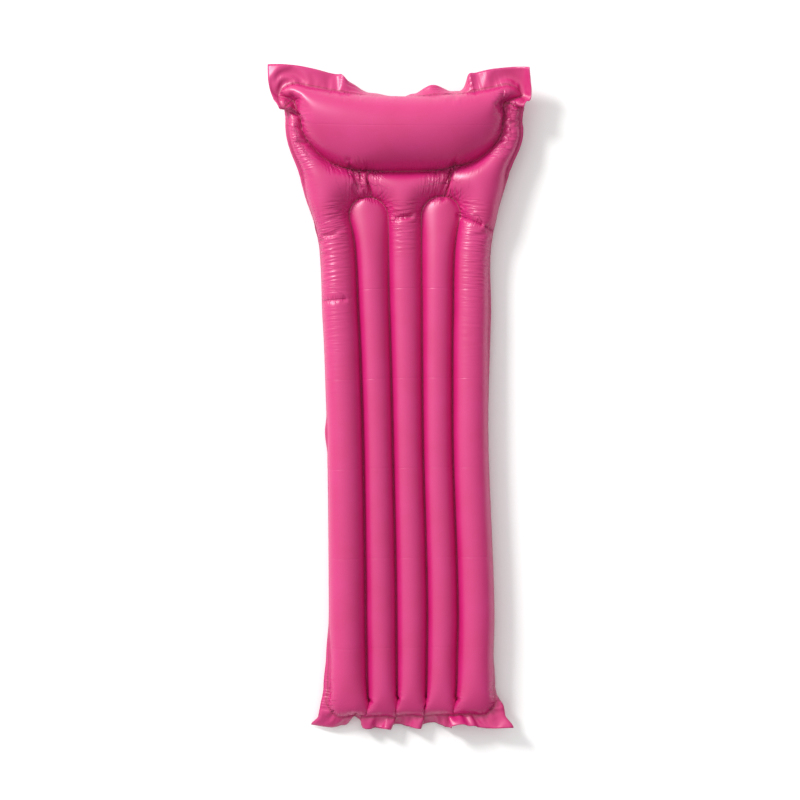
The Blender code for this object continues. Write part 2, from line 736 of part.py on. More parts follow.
def valve(prefix, seat, up_slope, carrier, collection, cutters, finishes):
    """One valve: flanged neck, push-in stem, tethered stopper and non-return flap."""
    place, out = seat
    frame = Matrix.Identity(4)
    across = out.cross(up_slope)
    for column, axis in enumerate((up_slope, across, out)):
        frame.col[column][:3] = axis
    frame.col[3][:3] = place
    collar_z = NECK_HEIGHT + FIT_GAP
    top_z = collar_z + COLLAR_THICKNESS
    flange_z = -FILM - FIT_GAP
    under_z = flange_z - VALVE_FLANGE_THICKNESS
    end_z = collar_z - STEM_LENGTH_BELOW_COLLAR
    collar_radius = STEM_RADIUS + COLLAR_OVERHANG

    def put(item, offset=(0.0, 0.0, 0.0)):
        item.matrix_world = frame @ Matrix.Translation(offset)
        return item

    neck = rounded(
        [
            (NECK_RADIUS, NECK_HEIGHT),
            (NECK_RADIUS, flange_z),
            (VALVE_FLANGE_RADIUS, flange_z),
            (VALVE_FLANGE_RADIUS, under_z),
            (NECK_RADIUS - NECK_WALL, under_z),
            (NECK_RADIUS - NECK_WALL, NECK_HEIGHT),
        ],
        NECK_ROUND,
    )
    neck = put(turned(prefix + "_valve_neck", neck, collection, finishes["neck"]))
    attach(neck, carrier)

    stem = rounded(
        [
            (collar_radius, top_z),
            (collar_radius, collar_z),
            (STEM_RADIUS, collar_z),
            (STEM_RADIUS, end_z + LIP_THICKNESS),
            (STEM_RADIUS + LIP_OVERHANG, end_z + LIP_THICKNESS),
            (STEM_RADIUS + LIP_OVERHANG, end_z),
            (STEM_BORE_RADIUS, end_z),
            (STEM_BORE_RADIUS, top_z),
        ],
        EDGE_ROUND,
    )
    stem = put(turned(prefix + "_valve_stem", stem, collection, finishes["stem"]))
    attach(stem, carrier)

    # the stopper turns about the roll at the root of its strap, just outside the collar
    pivot = (collar_radius + FIT_GAP + STRAP_ROLL_RADIUS, top_z)
    plug_radius = STEM_BORE_RADIUS - FIT_GAP
    cap_low, cap_high = FIT_GAP, FIT_GAP + STOPPER_CAP_THICKNESS
    cap = rounded(
        [
            (0.0, cap_high),
            (STOPPER_CAP_RADIUS, cap_high),
            (STOPPER_CAP_RADIUS, cap_low),
            (plug_radius, cap_low),
            (plug_radius - PLUG_TAPER, -PLUG_DEPTH),
            (0.0, -PLUG_DEPTH),
        ],
        EDGE_ROUND,
    )
    stopper = turned(prefix + "_valve_stopper", cap, collection, finishes["stopper"])
    turn = np.linspace(0.0, -1.5 * math.pi, STRAP_ROLL_STEPS)
    roll = [
        (pivot[0] + STRAP_ROLL_RADIUS * math.cos(t), STRAP_ROLL_RADIUS * math.sin(t)) for t in turn
    ]
    bar_z = cap_low + STRAP_THICKNESS
    root = STOPPER_CAP_RADIUS * STRAP_ROOT_SHARE
    outline = [(root, bar_z), (pivot[0] + STRAP_ROLL_RADIUS, bar_z)] + roll[:-1]
    outline += [(pivot[0] - STRAP_ROLL_RADIUS, cap_low), (root, cap_low)]
    strap = new_object(
        prefix + "_strap_shape",
        strap_mesh(prefix + "_strap", cutters, outline, STRAP_WIDTH),
        cutters,
    )
    strap.hide_render = True
    strap.display_type = "WIRE"
    stopper_pivot = frame @ Vector((pivot[0], 0.0, top_z))
    hinge = pivot_empty(prefix + "_stopper_pivot", stopper_pivot, collection, stem)
    attach(put(strap, (0.0, 0.0, top_z)), hinge)
    attach(put(stopper, (0.0, 0.0, top_z)), hinge)
    join = stopper.modifiers.new("strap", "BOOLEAN")
    join.operation = "UNION"
    join.object = strap
    join.solver = "EXACT"

    # the flap lies under the stem's inner end and turns about its edge
    flap_radius = STEM_BORE_RADIUS + FLAP_OVERLAP
    bpy.ops.mesh.primitive_cylinder_add(
        vertices=ROUND_STEPS, radius=flap_radius, depth=FLAP_THICKNESS
    )
    flap = bpy.context.active_object
    flap.name = prefix + "_valve_flap"
    flap.data.name = flap.name
    for holder in list(flap.users_collection):
        holder.objects.unlink(flap)
    collection.objects.link(flap)
    flap.data.materials.append(finishes["flap"])
    flap.data.transform(Matrix.Translation((flap_radius, 0.0, -FLAP_THICKNESS / 2)))
    flap_z = end_z - FIT_GAP
    attach(put(flap, (-flap_radius, 0.0, flap_z)), stem)

    travel = under_z - FIT_GAP - (end_z + LIP_THICKNESS)
    flap_pivot = frame @ Vector((-flap_radius, 0.0, flap_z))
    print(prefix, "valve place", tuple(round(v, 6) for v in place))
    print(prefix, "valve out", tuple(round(v, 6) for v in out))
    print(prefix, "valve stem travel", round(travel, 6))
    print(prefix, "valve stopper pivot", tuple(round(v, 6) for v in stopper_pivot))
    print(prefix, "valve flap pivot", tuple(round(v, 6) for v in flap_pivot))
    print(prefix, "valve across", tuple(round(v, 6) for v in across))


def solved(sketch, outline, thickness=None):
    """The sketch as triangles with the height of the inflated film at each point."""
    points, welded, faces = triangulate(sketch, outline)
    height = inflated_height(points, welded, faces)
    if thickness:
        in_pillow = np.abs(points[:, 0]) < PILLOW_WIDTH / 2
        in_pillow &= points[:, 1] > pillow_below(points[:, 0])
        in_pillow &= points[:, 1] < pillow_above(points[:, 0])
        height[in_pillow] *= thickness / 2 / height[in_pillow].max()
    return points, faces, height


def main():
    clear_scene()
    collection = bpy.data.collections.new("pool_air_mattress")
    cutters = bpy.data.collections.new("helper_shapes")
    bpy.context.scene.collection.children.link(collection)
    bpy.context.scene.collection.children.link(cutters)

    upper = material("pink vinyl film, upper sheet", FILM_PINK, 0.36)
    lower = material("pink vinyl film, lower sheet", FILM_PINK_BELOW, 0.40)
    white = material("soft white vinyl", VALVE_WHITE, 0.45)
    clear = material("clear vinyl", VALVE_CLEAR, 0.30)
    finishes = {"neck": white, "stem": white, "stopper": white, "flap": clear}

    body = pivot_empty("mattress_body", (0.0, 0.0, 0.0), collection)
    fold = pivot_empty("pillow_fold", (0.0, FOLD_Y, HEAD_Z), collection, body)
    over = solved(*body_sketch(TUBE_SHARES_ABOVE))
    film("tubes_top_sheet", collection, upper, over, True, body)
    under = solved(*body_sketch(TUBE_SHARES_BELOW, MAIN_VALVE))
    main_seat = film("tubes_bottom_sheet", collection, lower, under, False, body, MAIN_VALVE)
    over = solved(*head_sketch(), thickness=PILLOW_THICKNESS)
    film("pillow_top_sheet", collection, upper, over, True, fold)
    under = solved(*head_sketch(PILLOW_VALVE), thickness=PILLOW_THICKNESS)
    pillow_seat = film("pillow_bottom_sheet", collection, lower, under, False, fold, PILLOW_VALVE)

    rise, run = math.sin(VALVE_TILT), math.cos(VALVE_TILT)
    main_slope, pillow_slope = Vector((-run, 0.0, rise)), Vector((0.0, run, rise))
    valve("main", main_seat, main_slope, body, collection, cutters, finishes)
    valve("pillow", pillow_seat, pillow_slope, fold, collection, cutters, finishes)
    print("fold line at y", round(FOLD_Y, 6), "z", round(HEAD_Z, 6))


main()
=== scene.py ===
import math
import time
from functools import partial

import bpy
import numpy as np
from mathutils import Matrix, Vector


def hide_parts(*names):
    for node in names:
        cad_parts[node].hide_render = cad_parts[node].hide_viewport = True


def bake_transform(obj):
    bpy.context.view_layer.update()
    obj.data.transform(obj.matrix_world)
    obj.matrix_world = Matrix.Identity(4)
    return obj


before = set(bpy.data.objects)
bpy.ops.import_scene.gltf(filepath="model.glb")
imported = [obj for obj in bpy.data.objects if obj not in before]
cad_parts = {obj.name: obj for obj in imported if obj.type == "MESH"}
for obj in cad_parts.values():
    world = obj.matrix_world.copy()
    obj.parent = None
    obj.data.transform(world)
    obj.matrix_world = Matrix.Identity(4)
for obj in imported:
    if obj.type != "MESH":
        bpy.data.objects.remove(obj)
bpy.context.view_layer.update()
started = time.time()


def say(text):
    print("[%5.1f s] %s" % (time.time() - started, text))


# The cut: the two sheets lying flat, in metres. s runs across, t along.
sheet = {
    "width": 0.69,
    "length": 1.832,
    "sideFlange": 0.0104,
    "endFlange": 0.036,
    "outerTube": 0.1476,
    "innerTube": 0.1247,
    "fingerTip": 0.534,  # the two closed tubes end here
    "pillowHalf": 0.286,  # the pillow's seam is a superellipse this far to each side
    "pillowTop": 0.824,
    "pillowReach": 0.212,
    "pillowPower": 3.6,
    "pillowShift": -0.007,  # its middle lies this far to the right
    "pillowBulge": 0.04,  # and half way down it is wider by this share
    "hornFall": -0.17,  # how its two ends slope on out to the outer weld
    "seamPast": 0.002,  # and how far past that weld they go
    "widthAt": [-0.916, -0.88, -0.74, -0.6, -0.03, 0.2, 0.4, 0.6, 0.74, 0.86],
    "widthShare": [1.0, 0.94, 0.96, 0.97, 0.945, 0.94, 0.92, 0.965, 1.03, 1.075],  # the cut's width there
    "flangeAt": [-0.9, -0.84, -0.6, 0.6],
    "flangeShare": [2.4, 2.0, 1.0, 1.0],  # the side flanges' width there
    "headFrom": 0.55,  # from here on, over this span, the cut grows longer
    "headSpan": 0.3,
    "headExtra": 0.008,  # by this much, and by this share of the way to the left
    "headSkew": 0.04,
    "headFlangeShare": 1.5,  # the head flange's width, as a share of endFlange
    "headCorner": 0.075,  # radius of the outer weld's corners
    "footCorner": 0.055,
    "stretchShare": 0.985,  # the film stretches by the rest of this under pressure
    "onWeld": 2e-5,  # a grid point this near to a weld is on it
    "hair": 1e-6,  # and lengths this near are equal
}

# Cells of the coarsest grid: across each tube, between the end welds, in each end flange
gridCells = {"outerTube": 7, "innerTube": 6, "between": 84, "endFlange": 2}


# The plan that the sheets are pulled in to before the air goes in, on the frame
plan = {
    "inner": 0.0397,
    "outer": 0.1191,
    "row": 0.2133,
    "shoulder": 0.274,
    "head": 0.315,
    "flareLength": 0.35,
    "flarePower": 1.8,
    "footFlare": 0.01,
    "footFlareLength": 0.22,
    "foldY": 0.606,
    "headLength": 0.276,
    "footWeldY": -0.846,
    "footRun": 0.15,
    # at the foot's edge and weld, footRun, the closed tubes' ends, the pillow's seam, the head's weld and edge
    "middleY": [-0.88, -0.846, -0.71, 0.549, 0.608, 0.808, 0.815],
    "cornerY": [-0.88, -0.846, -0.71, 0.549, 0.612, 0.842, 0.88],
    "cornerFrom": 0.1,  # shares of the half width between which middleY turns to cornerY
    "cornerSpan": 0.9,
    "arcSteps": 25,
    "footRise": 0.06,
    "tubeMiddle": 0.046,
    "wideFrom": 0.3,  # the tubes' half circles give way here to the pillow's dome
    "wideSpan": 0.3,
    "headRise": 0.018,
    "headRiseFrom": 0.28,
    "headRiseSpan": 0.3,
    "headLift": 0.045,
}


# The air: one entry for each grid, from coarse (21 mm) to fine (5 mm)
air = {
    "steps": [1000, 500, 400],
    "push": [0.00003, 0.00001, 0.000003],
    "noise": [0.002, 0.0004, 0.0002],
    "bend": [0.0005, 0.001, 0.002],
    "squeeze": [0.3, 0.1, 0.03],  # how much of the pull a shortened thread pushes back with
    "endSqueeze": [0.2, 0.1, 0.1],  # the same in the flange at the foot, which crumples
    "topSqueeze": [0.3, 0.2, 0.2],  # and in the middle of the flange at the head
    "endFrom": 0.86,  # where on the cut these two begin, and how soon they take over
    "endOver": 0.02,
    "topFrom": 0.8,
    "topOver": 0.03,
    "topHalf": 0.28,
    "topSideOver": 0.06,
    "edgePull": 0.5,
    "crossPull": 0.3,
    "keep": 0.98,  # speed kept from step to step
    "weight": 0.02,
    "speedCap": 0.1,  # cells a step
    "seed": 4,
    "coarseCell": 0.0208,
    "tiny": 1e-9,
}


# How far the narrow side flanges are folded under, in degrees, at heights on the cut
tuck = {
    "at": [-0.84, -0.7, -0.6, -0.16, -0.1, -0.05, 0.2, 0.5, 0.62],
    "left": [15, 35, 78, 78, 45, 78, 78, 70, 40],
    "right": [66, 80, 80, 78, 78, 76, 45, 78, 40],
    "top": 0.62,
    "topFade": 0.05,
    "bottom": -0.86,
    "bottomFade": 0.04,
    "across": [-0.16, -0.08, 0.0, 0.03, 0.08, 0.13, 0.15, 0.19],
    "head": [0, 70, 85, 70, 30, 70, 70, 0],  # and the head flange, at places across the cut
    "sideFade": 0.03,
}


# The mattress lies a little askew: its axis moves aside by this much, at heights on the frame
layOut = {
    "at": [-0.9, -0.5, -0.1, 0.3, 0.5, 0.66, 0.8, 0.9],
    "aside": [0.0, 0.005, 0.002, 0.002, 0.004, 0.009, 0.004, 0.0],
}


single = np.float32
every, low, high = slice(None), slice(None, -1), slice(1, None)  # parts of a grid line


def smooth(t):
    # 3t^2 - 2t^3, from 0 to 1
    t = np.clip(t, 0.0, 1.0)
    return t * t * (3.0 - 2.0 * t)


def spaced(stops, counts):
    # evenly spaced lines from each stop to the next
    spans = [np.linspace(a, b, k, endpoint=False) for a, b, k in zip(stops, stops[1:], counts)]
    return np.concatenate(spans + [stops[-1:]])


def gridLines(level):
    # columns and rows of the flat grid; every straight weld has a line of its own
    n = 2**level
    half, end = sheet["width"] / 2, sheet["length"] / 2
    inner, outer = sheet["innerTube"] / 2, sheet["innerTube"] * 1.5
    weld = outer + sheet["outerTube"]
    weldEnd = end - sheet["endFlange"]
    edge = max(1, n // 2)
    wide, narrow, long, short = [count * n for count in gridCells.values()]
    columns = [-half, -weld, -outer, -inner, inner, outer, weld, half]
    columns = spaced(columns, [edge, wide, narrow, narrow, narrow, wide, edge])
    return columns, spaced([-end, -weldEnd, weldEnd, end], [short, long, short])


def fingerField(s, t, side):
    # distance to the edge of a strip one tube wide with a half round end; below 0 inside
    half = sheet["innerTube"] / 2
    over = np.maximum(t - (sheet["fingerTip"] - half), 0.0)
    return np.hypot(np.abs(s - side * sheet["innerTube"]), over) - half


def pillowField(s, t):
    # above 0 outside the pillow's seam: (|s| / half)^power + (drop / reach)^2 = 1, then straight out from each end
    drop = sheet["pillowTop"] - t
    reach = sheet["pillowReach"]
    deep = np.clip(drop / reach, 0.0, 1.0)
    share = np.abs(s - sheet["pillowShift"]) / sheet["pillowHalf"]
    share = share / (1.0 + sheet["pillowBulge"] * 4.0 * deep * (1.0 - deep))
    curve = ((share ** sheet["pillowPower"] + (np.maximum(drop, 0.0) / reach) ** 2) ** 0.5 - 1.0) * reach
    return np.minimum(curve, drop + sheet["hornFall"] * (share - 1.0))


def outerWeld():
    # half its width and half its length
    return sheet["width"] / 2 - sheet["sideFlange"], sheet["length"] / 2 - sheet["endFlange"]


def outerField(s, t):
    # distance to the outer weld, a rectangle with round corners; below 0 inside
    a, b = outerWeld()
    r = np.where(t > 0, sheet["headCorner"], sheet["footCorner"])
    across, along = np.abs(s) - (a - r), np.abs(t) - (b - r)
    corner = np.hypot(np.maximum(across, 0.0), np.maximum(along, 0.0))
    return corner + np.minimum(np.maximum(across, along), 0.0) - r


def seamFields():
    # the closed tubes, the outer weld, and the pillow's seam, which stops just past the outer one
    return [
        partial(fingerField, side=-1.0),
        partial(fingerField, side=1.0),
        outerField,
        lambda s, t: np.where(outerField(s, t) < sheet["seamPast"], pillowField(s, t), 1.0),
    ]


def flatPattern(level):
    # the flat grid, with the grid points nearest to each curved weld moved onto it
    columns, rows = gridLines(level)
    s, t = np.meshgrid(columns, rows)
    flat = np.stack([s, t])
    welded = np.zeros(s.shape, bool)
    edge = np.ones(s.shape, bool)
    edge[1:-1, 1:-1] = False
    for field in seamFields():
        value = field(flat[0], flat[1])
        best = np.where(np.abs(value) < sheet["onWeld"], -1.0, np.inf)
        moved = flat.copy()
        for a, b in (((every, low), (every, high)), ((low, every), (high, every))):
            crosses = value[a] * value[b] < 0
            share = np.where(crosses, value[a] / np.where(crosses, value[a] - value[b], 1.0), 0.0)
            place = flat[(every,) + a] * (1.0 - share) + flat[(every,) + b] * share
            ends = ((crosses & (share < 0.5), a, share), (crosses & (share >= 0.5), b, 1.0 - share))
            for near, end, far in ends:
                better = near & (far < best[end])
                for k in range(2):
                    moved[k][end][better] = place[k][better]
                best[end][better] = far[better]
        found = (best < np.inf) & ~edge
        free = found & ~welded
        flat[:, free] = moved[:, free]
        welded |= found
    return flat, welded


def eased(t, stations, values):
    # from each station's value to the next one's on a smooth step
    stations, values = np.array(stations), np.array(values)
    i = np.clip(np.searchsorted(stations, t) - 1, 0, len(stations) - 2)
    share = smooth((t - stations[i]) / (stations[i + 1] - stations[i]))
    return values[i] + (values[i + 1] - values[i]) * share


def cutPlace(flat):
    # where each grid point lies in the real cut, which changes width along it and has a skew head
    s, t = flat
    weldSide, weldEnd = outerWeld()
    beyond = np.maximum(np.abs(s) - weldSide, 0.0)
    across = (np.abs(s) - beyond) * eased(t, sheet["widthAt"], sheet["widthShare"])
    across += beyond * eased(t, sheet["flangeAt"], sheet["flangeShare"])
    more = smooth((t - sheet["headFrom"]) / sheet["headSpan"])
    more = more * (sheet["headExtra"] - sheet["headSkew"] * s)
    more += np.maximum(t - weldEnd, 0.0) * (sheet["headFlangeShare"] - 1.0)
    return np.stack([np.sign(s) * across, t + more])


def startPlan(flat):
    # where each point of the cut goes first: pulled in towards the blown-up outline
    s, t = flat
    p = plan
    end = sheet["length"] / 2
    weldSide, weldEnd = outerWeld()
    seam = sheet["pillowTop"] - sheet["pillowReach"]
    stations = [-end, -weldEnd, -weldEnd + p["footRun"], sheet["fingerTip"], seam, weldEnd, end]
    middle, corner = np.interp(t, stations, p["middleY"]), np.interp(t, stations, p["cornerY"])
    share = np.abs(s) / weldSide
    y = middle + (corner - middle) * smooth((share - p["cornerFrom"]) / p["cornerSpan"])
    flare = np.clip((y - p["foldY"]) / p["flareLength"] + 1.0, 0.0, 1.0) ** p["flarePower"]
    foot = smooth((p["footWeldY"] + p["footFlareLength"] - y) / p["footFlareLength"])
    side = p["row"] + (p["shoulder"] - p["row"]) * flare + p["footFlare"] * foot
    head = p["shoulder"] + (p["head"] - p["shoulder"]) * (y - p["foldY"]) / p["headLength"]
    side = np.where(y > p["foldY"], head, side)
    # across each tube the film lies on a half circle: the plan goes as the cosine, the lift as the sine
    inner, outer = sheet["innerTube"] / 2, sheet["innerTube"] * 1.5
    welds = np.array([-inner, inner, outer, outer + sheet["outerTube"]])
    held = np.array([-p["inner"], p["inner"], p["outer"], p["row"]])
    turn = np.linspace(0.0, 1.0, p["arcSteps"])[:, None]
    marks = (welds[:-1] + np.diff(welds) * turn).T.ravel()
    places = (held[:-1] + np.diff(held) * (1.0 - np.cos(math.pi * turn)) / 2).T.ravel()
    lifts = (np.diff(held) * np.sin(math.pi * turn) / 2).T.ravel()
    flange = np.maximum(np.abs(s) - welds[-1], 0.0)
    tubes = (np.interp(np.abs(s), marks, places) + flange) * side / p["row"]
    lift = np.interp(np.abs(s), marks, lifts) * smooth((y - p["footWeldY"]) / p["footRise"])
    distance = np.min([np.abs(field(s, t)) for field in seamFields()], axis=0)
    dome = p["headLift"] * np.sin(np.minimum(distance / p["headLift"], math.pi / 2))
    wide = smooth((y - p["wideFrom"]) / p["wideSpan"])
    lift = np.where(outerField(s, t) < 0, lift * (1.0 - wide) + dome * wide, 0.0)
    return np.sign(s) * (tubes * (1.0 - wide) + share * side * wide), y, lift


def threads(shape):
    # pairs of grid points one or two steps apart, in sets that use no point twice
    rowCount, columnCount = shape
    made = []
    kinds = ((0, 1, "edge"), (1, 0, "edge"), (1, 1, "cross"), (1, -1, "cross"), (0, 2, "fold"), (2, 0, "fold"))
    for down, over, kind in kinds:
        step = max(down, over) if kind == "fold" else 1
        for first in range(2 * step):
            start = first % step + (first // step) * (down or over)
            if down:
                rowsA, rowsB = slice(start, rowCount - down, 2 * down), slice(start + down, rowCount, 2 * down)
                columnsA = slice(max(-over, 0), columnCount - max(over, 0))
                columnsB = slice(max(over, 0), columnCount + min(over, 0))
            else:
                rowsA = rowsB = every
                columnsA = slice(start, columnCount - over, 2 * over)
                columnsB = slice(start + over, columnCount, 2 * over)
            made.append(((every, every, rowsA, columnsA), (every, every, rowsB, columnsB), kind))
    return made


def blow(place, flat, welded, level):
    # pressure pushes each cell along its normal; every thread then pulls back to its length in the cut
    cell = air["coarseCell"] / 2**level
    corners = ((high, high), (low, low), (high, low), (low, high))  # of all cells
    holdsAir = outerField(*(sum(flat[(every,) + corner] for corner in corners) / 4)) < 0
    cut = cutPlace(flat)
    nearAir = np.zeros(flat.shape[1:], bool)
    for corner in corners:
        nearAir[corner] |= holdsAir
    joined = welded | ~nearAir  # where the two sheets are one
    end = np.clip((-flat[1] - air["endFrom"]) / air["endOver"], 0.0, 1.0)
    top = smooth((flat[1] - air["topFrom"]) / air["topOver"])
    top = top * smooth((air["topHalf"] - np.abs(flat[0])) / air["topSideOver"])
    give = air["squeeze"][level] + (air["endSqueeze"][level] - air["squeeze"][level]) * end
    give += (air["topSqueeze"][level] - air["squeeze"][level]) * top
    work = []
    for a, b, kind in threads(flat.shape[1:]):
        length = np.sqrt(((cut[b[1:]] - cut[a[1:]]) ** 2).sum(axis=0))
        soft = (give[a[2:]] + give[b[2:]]) / 2
        length = (length * sheet["stretchShare"])[None].astype(single)
        work.append((a, b, kind, length, soft[None].astype(single)))
    # each corner takes a quarter of the cell's normal, half the cross product of its diagonals
    push = holdsAir.astype(single) * single(air["push"][level] / cell**2 / 8)
    push = push * np.array([1, -1], single)[:, None, None]
    pulls = {"edge": single(air["edgePull"]), "cross": single(air["crossPull"])}
    speed = np.zeros_like(place)
    for step in range(air["steps"][level]):
        rising = place[:, :, 1:, 1:] - place[:, :, :-1, :-1]
        falling = place[:, :, 1:, :-1] - place[:, :, :-1, 1:]
        speed *= single(air["keep"])
        for k in range(3):
            i, j = (k + 1) % 3, (k + 2) % 3
            force = (rising[i] * falling[j] - rising[j] * falling[i]) * push
            for corner in corners:
                speed[k][(every,) + corner] += force
        speed[2] -= single(air["weight"] * air["push"][level])
        speed[:, :, joined] = speed[:, :, joined].mean(axis=1, keepdims=True)
        before = place.copy()
        place += speed
        for a, b, kind, length, soft in work:
            gap = place[b] - place[a]
            now = np.sqrt(gap[0] * gap[0] + gap[1] * gap[1] + gap[2] * gap[2]) + single(air["tiny"])
            pull = 1 - length / now
            if kind in pulls:
                pull *= np.where(pull > 0, pulls[kind], pulls[kind] * soft)
            else:
                pull = np.minimum(pull, 0) * single(air["bend"][level])
            gap *= pull
            place[a] += gap
            place[b] -= gap
        place[:, :, joined] = place[:, :, joined].mean(axis=1, keepdims=True)
        np.maximum(place[2], 0, out=place[2])  # the ground
        speed = place - before
        pace = np.sqrt((speed * speed).sum(axis=0))
        speed *= np.minimum(1, single(cell * air["speedCap"]) / np.maximum(pace, air["tiny"]))
    return place


def finer(place, level):
    # the coarse grid read at the next grid's columns and rows
    def between(at, known):
        i = np.clip(np.searchsorted(known, at, side="right") - 1, 0, len(known) - 2)
        return i, ((at - known[i]) / (known[i + 1] - known[i])).astype(single)

    columns, rows = gridLines(level)
    newColumns, newRows = gridLines(level + 1)
    i, w = between(newRows, rows)
    place = place[:, :, i] * (1 - w)[:, None] + place[:, :, i + 1] * w[:, None]
    j, w = between(newColumns, columns)
    return place[..., j] * (1 - w) + place[..., j + 1] * w


def tuckFlange(place, flat):
    # the flanges turn about their weld: out by d cos(angle) and down by d sin(angle)
    s, t = flat
    weldSide, weldEnd = outerWeld()
    cut = cutPlace(flat)
    for side in (-1, 1):
        columns = np.nonzero(side * s[t.shape[0] // 2] > weldSide - sheet["hair"])[0]
        edge = columns[0] if side > 0 else columns[-1]
        angle = np.radians(eased(t[:, edge], tuck["at"], tuck["left" if side < 0 else "right"]))
        hold = smooth((tuck["top"] - t[:, edge]) / tuck["topFade"])
        hold = hold * smooth((t[:, edge] - tuck["bottom"]) / tuck["bottomFade"])
        for column in columns[columns != edge]:
            out = np.abs(cut[0, :, column] - cut[0, :, edge])
            step = np.stack([side * out * np.cos(angle), 0 * out, -out * np.sin(angle)])
            goal = place[..., edge] + step[:, None]
            place[..., column] += (goal - place[..., column]) * hold
    rows = np.nonzero(t[:, t.shape[1] // 2] > weldEnd - sheet["hair"])[0]
    across = tuck["across"]
    angle = np.radians(eased(s[-1], across, tuck["head"]))
    hold = smooth((across[-1] - s[-1]) / tuck["sideFade"]) * smooth((s[-1] - across[0]) / tuck["sideFade"])
    weldPlace = place[:, :, rows[0]].copy()
    for row in rows[1:]:
        out = t[row] - t[rows[0]]
        goal = weldPlace + np.stack([0 * out, out * np.cos(angle), -out * np.sin(angle)])[:, None]
        place[:, :, row] += (goal - place[:, :, row]) * hold
    np.maximum(place[2], 0, out=place[2])
    return place


def blownSheets(levels):
    # both sheets' points as an array (3, 2 sheets, rows, columns)
    chance = np.random.default_rng(air["seed"])
    for level in range(levels):
        flat, welded = flatPattern(level)
        if level == 0:
            x, y, lift = startPlan(flat)
            place = np.zeros((3, 2) + flat.shape[1:], single)
            place[0], place[1] = x, y
            place[2] = plan["headRise"] * smooth((y - plan["headRiseFrom"]) / plan["headRiseSpan"]) + plan["tubeMiddle"]
            place[2, 0] += lift
            place[2, 1] -= lift
        else:
            place = finer(place, level - 1)
        place += chance.normal(0, air["noise"][level], (3, 1) + flat.shape[1:]).astype(single)
        place = blow(place, flat, welded, level)
        say("air in, grid of %d x %d" % flat.shape[1:])
    place = tuckFlange(place, flat)
    place[0] += eased(place[1], layOut["at"], layOut["aside"])
    return place, flat, welded


# The film, and half the gap between the sheets at their welds
filmWall = {"thickness": 0.0003, "halfGap": 0.00015}

# The sharp creases: two from the closed tubes' ends, three across tubes, two at each upper corner of the pillow.
# Each has its ends in plan, its share of the depth and its taper.
creases = {
    "lines": [
        ((-0.1494, 0.6441), (-0.0955, 0.54), 1.0, 0.03),
        ((0.1469, 0.6445), (0.103, 0.543), 1.0, 0.03),
        ((-0.219, 0.264), (-0.139, 0.269), 0.9, 0.012),
        ((0.14, 0.49), (0.265, 0.43), 1.5, 0.012),
        ((-0.033, 0.48), (0.033, 0.4855), 0.9, 0.014),
        ((-0.2895, 0.8157), (-0.275, 0.76), 0.9, 0.014),
        ((-0.3084, 0.7869), (-0.258, 0.796), 0.7, 0.012),
        ((0.2715, 0.8144), (0.26, 0.744), 0.9, 0.014),
        ((0.238, 0.771), (0.299, 0.755), 0.7, 0.012),
    ],
    "depth": 0.005,
    "width": 0.007,
    "foldDepth": 0.0016,  # the sharp bottom of the crease
    "foldWidth": 0.003,
    "weldFade": 0.012,  # none at a weld, all of it this far away
}

# Where each valve comes through the lower sheet, as the frame has it
valveSeats = {
    "main": {"place": (-0.22133, 0.466, 0.022345), "out": (-0.707107, 0.0, -0.707107)},
    "pillow": {"place": (0.12, 0.793663, 0.029733), "out": (0.0, 0.707107, -0.707107)},
}
fit = {
    "hole": 0.0073,
    "flat": 0.0145,  # the film lies flat on the neck's flange this far out
    "layTo": 3.0,  # and leaves that plane over to this many times as far
    "pullDepth": 0.06,  # only film this near to the plane is measured and laid flat
    "reach": 0.09,  # both sheets take up their own shape again this far out
    "square": 0.031,  # half the side of the square of grid that rings replace
    "holeDepth": 0.02,
    "outerRings": 6,
    "innerRings": 3,
    "tautFrom": 1.3,  # the film has no slack up to this many half squares out
    "tautOver": 1.7,
}


def unit(v):
    return v / np.maximum(np.linalg.norm(v, axis=-1, keepdims=True), 1e-12)


def gridNormals(points):
    # from the steps along and across, for a (rows, columns, 3) array
    return unit(np.cross(np.gradient(points, axis=1), np.gradient(points, axis=0)))


def seatFrame(seat):
    # two directions in the valve's plane, and the way out
    out = np.array(seat["out"])
    side = unit(np.cross(out, (0.0, 0.0, 1.0)))
    return side, np.cross(out, side), out


def offAxis(away, axes, depth):
    # distance from the valve's axis, plus 1 m if it is further than depth from its plane
    side, other, out = axes
    return np.hypot(away @ side, away @ other) + np.where(np.abs(away @ out) < depth, 0.0, 1.0)


def pullToSeat(place, seat):
    # both sheets shift along the valve's axis, less with distance, until the lower one meets its plane
    axes = seatFrame(seat)
    out = axes[2]
    centre = np.array(seat["place"]) - out * (filmWall["thickness"] + filmWall["halfGap"])
    points = np.moveaxis(place, 0, -1).astype(float)
    lower = points[1] - centre
    shift = -(lower @ out)[offAxis(lower, axes, fit["pullDepth"]) < fit["flat"]].mean()
    near = centre - shift * out
    share = smooth(1.0 - np.linalg.norm(points - near, axis=-1) / fit["reach"])
    points += (share * shift)[..., None] * out
    lower = points[1] - centre
    off = offAxis(lower, axes, fit["pullDepth"])
    lay = smooth((fit["flat"] * fit["layTo"] - off) / (fit["flat"] * (fit["layTo"] - 1.0)))
    points[1] -= (lay * (lower @ out))[..., None] * out
    return np.moveaxis(points, -1, 0), shift


